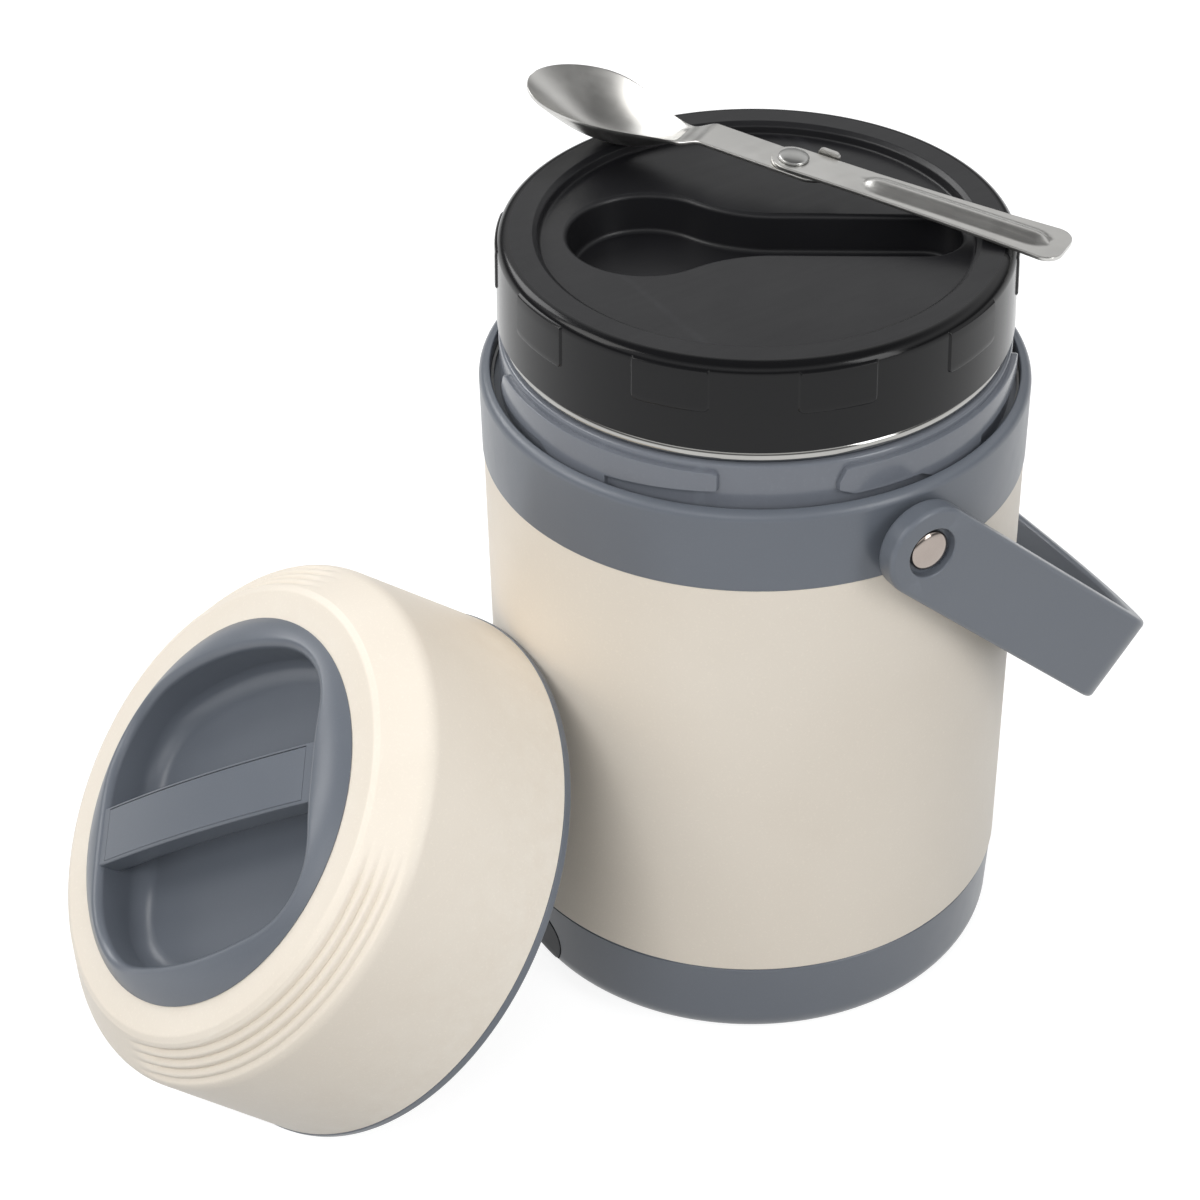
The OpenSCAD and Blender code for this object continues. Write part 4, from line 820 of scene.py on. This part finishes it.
def make_spoon():
    blade = solid("spoon_front", skin(spoon_front_rings()), place=SPOON)
    near, far, side, tab_t, foot_low = 4, 10.5, 6.8, 1.2, 0.05
    foot = [(near, SHANK_HALF - 1), (far, SHANK_HALF - 1), (far, side + tab_t), (near, side + tab_t)]
    carve(blade, solid("tab_foot", prism(foot, foot_low, 1.15), place=SPOON), "UNION")
    stand = rounded([(near, foot_low), (far, foot_low), (far, 3.9, 1.6), (near, 3.9, 1.6)])
    points, faces = prism(stand, 0, tab_t)
    upright = [(x, side + y, z) for x, z, y in points], faces
    carve(blade, solid("tab", upright, place=SPOON), "UNION")
    finish(blade, "spoon", [spoon_steel], ["spoon_bowl"])

    base = 1.35 + SHEET
    grip = solid("spoon_grip_blade", skin(spoon_grip_rings(base)), place=SPOON @ spun(2))
    finish(grip, "spoon_grip", [spoon_steel], ["spoon_handle"])

    head, head_r, head_rise, shaft_r, foot_r = base + 0.15, 4.3, 0.35, 2, 3.3
    dome = [(head_r * cosd(a), head + head_rise + 0.95 * sind(a)) for a in range(10, 91, 10)]
    rivet = turned_sheet([(0, -1), (foot_r, -1), (foot_r, -0.05), (shaft_r, -0.05), (shaft_r, head),
                          (head_r, head), (head_r, head + head_rise)] + dome, 64)
    finish(solid("rivet_heads", rivet, place=SPOON), "spoon", [plated], ["spoon_rivet"])


# Bail

BAIL = shifted(0, 0, PIVOT_Z) @ spun(-42.9, "X")
BAIL_OUT, BAIL_T, BAIL_HALF_W, BAIL_REACH = 84.7, 6.5, 13.2, 122
BAIL_BEND, BAIL_BEND_R, BAIL_BEND_A = (72.7, 86.68), 12, 54.44
BOW_Y, BOW_R = -15, 137


def bail_profile(edge=1.4):
    """The strap's half outline as (depth from outside, half width), with round edges."""
    turn = [(edge * (1 - sind(90 * k / 5)), BAIL_HALF_W - edge * (1 - cosd(90 * k / 5))) for k in range(6)]
    return sorted({(s, w) for s, w in turn} | {(BAIL_T - s, w) for s, w in turn})


def bail_rings():
    """Cross-sections from the round end at one pivot to the middle of the bow."""
    profile = bail_profile()

    def ring(place):
        return [place(s, w) for s, w in profile] + [place(s, -w) for s, w in reversed(profile)]

    def bent(centre, radius, a):
        return ring(lambda s, w: (centre[0] + (radius - s) * cosd(a), centre[1] + (radius - s) * sind(a), w))

    rings = []
    for k in range(15):
        t = 90 - 90 * k / 14
        rings.append(ring(lambda s, w: (BAIL_OUT - s, -abs(w) * sind(t), w * cosd(t))))
    for k in range(1, 9):
        y = BAIL_BEND[1] * k / 9
        rings.append(ring(lambda s, w: (BAIL_OUT - s, y, w)))
    rings += [bent(BAIL_BEND, BAIL_BEND_R, BAIL_BEND_A * k / 12) for k in range(13)]
    rings += [bent((0, BOW_Y), BOW_R, BAIL_BEND_A + (90 - BAIL_BEND_A) * k / 24) for k in range(1, 24)]
    return rings, ring(lambda s, w: (0, BAIL_REACH - s, w))


def make_bail():
    rings, middle = bail_rings()
    far_side = [[(-x, y, z) for x, y, z in r] for r in reversed(rings)]
    bail = solid("bail_bow", skin(rings + [middle] + far_side), place=BAIL)
    bore_r, sink_r, sink_z, mouth_z = 3.65, 7.2, 82.1, 84.9
    pocket = turned_sheet([(0, 77), (bore_r, 77), (bore_r, sink_z), (sink_r, sink_z), (sink_r, 84.2)]
                          + arc((7.75, 84.15), 0.55, 180, 90, 5) + [(9.5, mouth_z), (0, mouth_z)], 64)
    for side in (0, 180):
        aside = spun(side) @ spun(90, "Y")
        carve(bail, solid("pocket", moved(pocket, aside), place=BAIL))
    finish(bail, "bail", [slate], ["bail_handle"])

    pin_r, pin_in, head_z, cap_r, cap_z = 3.6, 74, 82.4, 5.8, 83.0
    head = [(0, pin_in), (pin_r, pin_in), (pin_r, head_z), (5.6, head_z), (cap_r, 82.6), (cap_r, cap_z)]
    dome = [(cap_r * cosd(a), cap_z + 1.5 * sind(a)) for a in range(8, 91, 8)]
    cap = turned_sheet(head + dome + [(0, 84.5)], 64)
    caps = [moved(cap, pivot_place(side)) for side in (0, 180)]
    finish(solid("pivot_caps", *caps), "jar", [chrome], ["pivot_pins"])


# Outer lid

LEAN, LEAN_AZ, LID_ASIDE = 49.7, -95.5, 11
LID_H, BAR_AZ = 60.0, -41.6
RIM_R = 76.5


def lid_place():
    """The lid's frame as it leans: its rim stands on the table and rests on the body."""
    edge_r = RIM_R - 1
    up = edge_r * sind(LEAN) - cosd(LEAN) + 1
    reach = edge_r * cosd(LEAN) - sind(LEAN) + 1
    touch = body_side(2 * up)
    out = touch + 0.3 + reach - LID_ASIDE ** 2 / (2 * (touch + RIM_R / cosd(LEAN)))
    return spun(LEAN_AZ) @ shifted(out, LID_ASIDE, up) @ spun(LEAN, "Y")


LID = lid_place()
BAR = LID @ spun(BAR_AZ)


def make_lid_shell():
    shoulder, crease, well_r = Vector((74.45, 49.5)), Vector((64.7, 59.1)), 51.6
    grooves, groove_depth = 4, 1.1
    grip_az, grip_half, grip_fade = 69.75, 50.95, 14
    outer = rounded([(76.2, 2.7, 0.3), (shoulder.x, shoulder.y, 6.5), (crease.x, crease.y, 1.0),
                     (62.9, LID_H, 2.0), (well_r, LID_H)], closed=False, steps=10)
    inner = [(well_r, 57.6), (61.9, 57.6), (63.0, 56.8), (71.2, 49.0), (71.9, 47.4), (73.8, 2.7)]
    slope = (crease - shoulder).normalized()
    inward = Vector((slope.y, -slope.x)) * -1
    start, length = shoulder + slope * 0.9, (crease - shoulder).length - 1.8
    dense = []
    for (r, z), (r2, z2) in zip(outer, outer[1:]):
        pieces = 40 if abs(r2 - r) > 2 and shoulder.y < z2 < LID_H else 1
        dense += [(r + (r2 - r) * k / pieces, z + (z2 - z) * k / pieces) for k in range(pieces)]
    dense.append(outer[-1])

    def side(angle):
        from_middle = abs((angle - grip_az + 90) % 180 - 90)
        fade = ease((grip_half - from_middle) / grip_fade)
        points = []
        for r, z in dense:
            along = (Vector((r, z)) - start).dot(slope) / length
            sink = 0.0
            if 0 < along < 1:
                sink = groove_depth * fade * (1 - abs(math.sin(math.pi * (along * grooves + 0.5))))
            points.append((r + inward.x * sink, z + inward.y * sink))
        return points + inner

    finish(solid("lid_cap", turned(side, 300), place=LID), "outer_lid", [cream], ["lid_shell"],
           crease=40)


def make_lid_rim():
    inside, seat, foot, high = 72.1, 73.3, 2.6, 10
    rim = solid("lid_ring", turned(rounded([
        (inside, 0, 0.3), (RIM_R, 0, 1.0), (RIM_R, foot, 0.35), (seat, foot), (seat, high), (inside, high)])),
        place=LID)
    lug_section = [(70.5, 0.8), (72.4, 0.8), (72.4, 4.2), (70.5, 4.2)]
    for k in range(4):
        start = 149 + 90 * k
        lug = swept([start + 16 * i / 10 for i in range(11)], lambda a: lug_section)
        carve(rim, solid("lug", lug, place=LID), "UNION")
    finish(rim, "outer_lid", [slate], ["lid_rim"])
    bend, bend_r, roof = (63.2, 35), 8.8, 43.8
    liner = turned_sheet([(71.2, high), (72.0, high)] + arc(bend, bend_r, 0, 90, 12) + [(0, roof), (0, 43)]
                         + arc(bend, 8, 90, 0, 12) + [(71.2, high)])
    finish(solid("lid_lining", liner, place=LID), "outer_lid", [liner_white], ["lid_liner"])


CUP_R, CUP_HALF = 54.5, 43


def cup_outline(inward):
    """The cup's opening, flat at the bar's ends and curved along its two long sides."""
    corner, corner_r, side_y, side_r = (18.0, 16.35), 25, -51.3, 95
    turn = math.degrees(math.atan2(corner[1] - side_y, corner[0]))
    quarter = [(CUP_HALF - inward, corner[1] * k / 6) for k in range(6)] \
        + arc(corner, corner_r - inward, 0, turn, 16)[:-1] + arc((0, side_y), side_r - inward, turn, 90, 14)
    half = quarter + [(-x, y) for x, y in reversed(quarter[:-1])]
    c, s = cosd(BAR_AZ), sind(BAR_AZ)
    return [Vector((x * c - y * s, x * s + y * c)) for x, y in mirrored(half)]


def flange_height(spot):
    """The cup's flange is domed: it rises from its outer edge to a level crest."""
    over = min(max(spot.length - 44, 0), 10.5)
    return LID_H - 9.4 + math.sqrt(14.5 ** 2 - over ** 2)


def make_handle_cup():
    floor, low, roll, neck_r, bend = 48.1, 46.1, 2.4, 51.3, 5.5
    opening, inside = cup_outline(0), cup_outline(1)
    spokes = [p.normalized() for p in opening]
    crest = [p + (p - q) * roll for p, q in zip(opening, inside)]
    tops = [flange_height(p) for p in crest]
    below = rounded([(30, low), (47.3, low, 1.5), (neck_r, low + 4, 1.0), (neck_r, LID_H),
                     (CUP_R + 0.2, LID_H, 0.1), (CUP_R + 0.3, LID_H + 0.35, 0.1), (CUP_R, LID_H + 0.6)],
                    closed=False)
    rings = [[(s.x * r, s.y * r, z) for s in spokes] for r, z in below]
    for k in range(1, 9):
        spots = [s * CUP_R * (1 - k / 8) + c * (k / 8) for s, c in zip(spokes, crest)]
        rings.append([(p.x, p.y, flange_height(p)) for p in spots])
    for a in range(10, 91, 10):
        into, drop = roll * sind(a), roll * (1 - cosd(a))
        rings.append([(c.x + (q.x - p.x) * into, c.y + (q.y - p.y) * into, top - drop)
                      for c, p, q, top in zip(crest, opening, inside, tops)])
    for a in range(0, 91, 9):
        into, z = bend * (1 - cosd(a)), floor + bend * (1 - sind(a))
        rings.append([(p.x + (q.x - p.x) * into, p.y + (q.y - p.y) * into, z)
                      for p, q in zip(opening, inside)])
    finish(solid("handle_well", skin(rings), place=LID), "outer_lid", [slate], ["handle_cup"],
           crease=45)


def arched_bar(name, reach, half, over, depth, edge, under):
    """A bar through the cup's middle whose top lies over its arch, with rounded long edges."""
    rings = []
    for k in range(25):
        x = reach * (k / 12 - 1)
        arch = LID_H + 4.4 + 2 * (1 - (x / CUP_HALF) ** 2)
        top, low = arch + over, arch - depth
        outline = rounded([(-half, low, under), (half, low, under), (half, top, edge), (-half, top, edge)],
                          steps=5)
        rings.append([(x, y, z) for y, z in outline])
    return solid(name, skin(rings), place=BAR)


def make_grip_bar():
    inlay_t = 1.6
    bar = arched_bar("grip_bar", 44, 8.5, 0, 9, 0.7, 3.4)
    carve(bar, arched_bar("groove", 41.15, 7.7, 3, inlay_t, 0.3, 0.3))
    finish(bar, "outer_lid", [slate])
    inlay = arched_bar("grip_inlay", 41, 7.55, 0, inlay_t, 0.3, 0.1)
    finish(inlay, "outer_lid", [slate], ["grip_strip"])


# CAD nodes that stay as they are and get only a material

CARRIED = {
    "neck_gasket": silicone, "well_liner": well_metal, "insulation_sleeve": foam,
    "bottom_cover": cover_plastic, "base_screws": plated, "base_pad": rubber, "heater_plate": well_metal,
    "heating_element": plated, "heater_bracket": plated, "heater_nuts": plated,
    "thermostat": cover_plastic, "thermal_fuse": brass, "live_lead": lead_red, "neutral_lead": lead_blue,
    "link_lead": lead_red, "inlet_socket": cover_plastic, "inlet_pins": brass, "pivot_washers": rubber,
    "bowl_lid_plate": black, "bowl_lid_gasket": silicone, "lid_insulation": foam, "lid_gasket": silicone,
}


def dress_carried():
    for name, material in CARRIED.items():
        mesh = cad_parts[name].data
        mesh.materials.clear()
        mesh.materials.append(material)


# Studio, with places and sizes of lamps in metres

def make_camera():
    data = bpy.data.cameras.new("camera")
    data.sensor_fit = "HORIZONTAL"
    data.sensor_width = 36
    data.lens = 104.97
    data.clip_end = 20
    camera = bpy.data.objects.new("camera", data)
    bpy.context.scene.collection.objects.link(camera)
    right, up = (0.52134, 0.85326, -0.01142), (-0.49572, 0.31372, 0.80984)
    back = (0.69460, -0.41654, 0.58654)
    camera.matrix_world = Matrix.Translation(Vector((679.4, -458.1, 697.7)) * MM) \
        @ Matrix((right, up, back)).transposed().to_4x4()
    bpy.context.scene.camera = camera


def make_lamp(name, place, target, size, watts, colour=(1, 1, 1), shines=True):
    """A softbox that points at a target. One that doesn't shine leaves no reflection."""
    data = bpy.data.lights.new(name, "AREA")
    data.shape = "RECTANGLE"
    data.size, data.size_y = size
    data.energy = watts
    data.color = colour
    lamp = bpy.data.objects.new(name, data)
    bpy.context.scene.collection.objects.link(lamp)
    lamp.location = place
    lamp.visible_glossy = shines
    lamp.rotation_euler = (Vector(target) - Vector(place)).to_track_quat("-Z", "Y").to_euler()


def make_backdrop():
    """White to the camera. Gloss sees a bright band and horizon, and other light a soft pale sky."""
    band_at, band_from, band_to, band_dim = 0.57, 0.06, 0.3, 0.16
    horizon_low, horizon_high = -0.02, 0.14
    world = bpy.data.worlds.new("studio")
    bpy.context.scene.world = world
    world.use_nodes = True
    tree = world.node_tree
    tree.nodes.clear()
    path = put(tree, "ShaderNodeLightPath").outputs
    seen = calc(tree, "MAXIMUM", path["Is Camera Ray"], path["Is Transmission Ray"])
    share = calc(tree, "MAXIMUM", seen, path["Is Glossy Ray"])
    where = put(tree, "ShaderNodeTexCoord").outputs["Generated"]
    height = put(tree, "ShaderNodeSeparateXYZ", Vector=where).outputs["Z"]
    apart = calc(tree, "ABSOLUTE", calc(tree, "SUBTRACT", height, band_at))
    band = ramp(tree, apart, band_from, band_to, 1.0, band_dim)
    horizon = ramp(tree, height, horizon_low, horizon_high, 1.0, 0.0)
    bright = blend(tree, path["Is Glossy Ray"], 1.0, calc(tree, "MAXIMUM", band, horizon))
    soft = put(tree, "ShaderNodeBackground", Color=(0.93, 0.97, 1.0, 1), Strength=0.38).outputs[0]
    white = put(tree, "ShaderNodeBackground", Color=(1, 1, 1, 1), Strength=bright).outputs[0]
    mixed = put(tree, "ShaderNodeMixShader", in0=share, in1=soft, in2=white).outputs[0]
    output = tree.nodes.new("ShaderNodeOutputWorld")
    tree.links.new(mixed, output.inputs["Surface"])


def make_floor():
    """Grey paper that takes the shadow, and glows white to the camera and in reflections."""
    reach, low, glow = 9000, -0.3, 0.86
    corners = [(-reach, -reach, low), (reach, -reach, low), (reach, reach, low), (-reach, reach, low)]
    floor = solid("floor", (corners, [(0, 1, 2, 3)]))
    paper, tree, shader = new_material("white paper")
    set_shader(shader, Base_Color=(0.3, 0.3, 0.3, 1), Roughness=0.9, Specular_IOR_Level=0.1,
               Emission_Strength=1.0)
    path = put(tree, "ShaderNodeLightPath").outputs
    seen = calc(tree, "MAXIMUM", path["Is Camera Ray"], path["Is Glossy Ray"])
    lit = blend_colours(tree, calc(tree, "MULTIPLY", seen, glow), (0, 0, 0, 1), (1, 1, 1, 1))
    tree.links.new(lit, shader.inputs["Emission Color"])
    floor.data.materials.append(paper)


def make_studio():
    make_backdrop()
    make_floor()
    make_lamp("key softbox", (-0.7, -1.5, 1.6), (0, 0, 0.12), (1.0, 1.0), 11, (1.0, 0.985, 0.96))
    make_lamp("left softbox", (-1.6, -0.5, 1.4), (0, 0, 0.15), (0.9, 0.9), 11)
    make_lamp("front softbox", (0.9, -1.1, 1.2), (0, 0, 0.12), (0.9, 0.9), 16, shines=False)
    make_lamp("side softbox", (1.5, 0.5, 0.9), (0, 0, 0.12), (0.5, 1.2), 8.5)
    make_lamp("top softbox", (-0.2, 0.5, 1.9), (0, 0, 0.15), (1.2, 1.0), 10, shines=False)
    bpy.context.scene.view_settings.view_transform = "Standard"


make_camera()
make_body()
make_base()
make_collar()
make_bowl()
make_bowl_lid()
make_grip_pads()
make_spoon()
make_bail()
make_lid_shell()
make_lid_rim()
make_handle_cup()
make_grip_bar()
dress_carried()
make_studio()
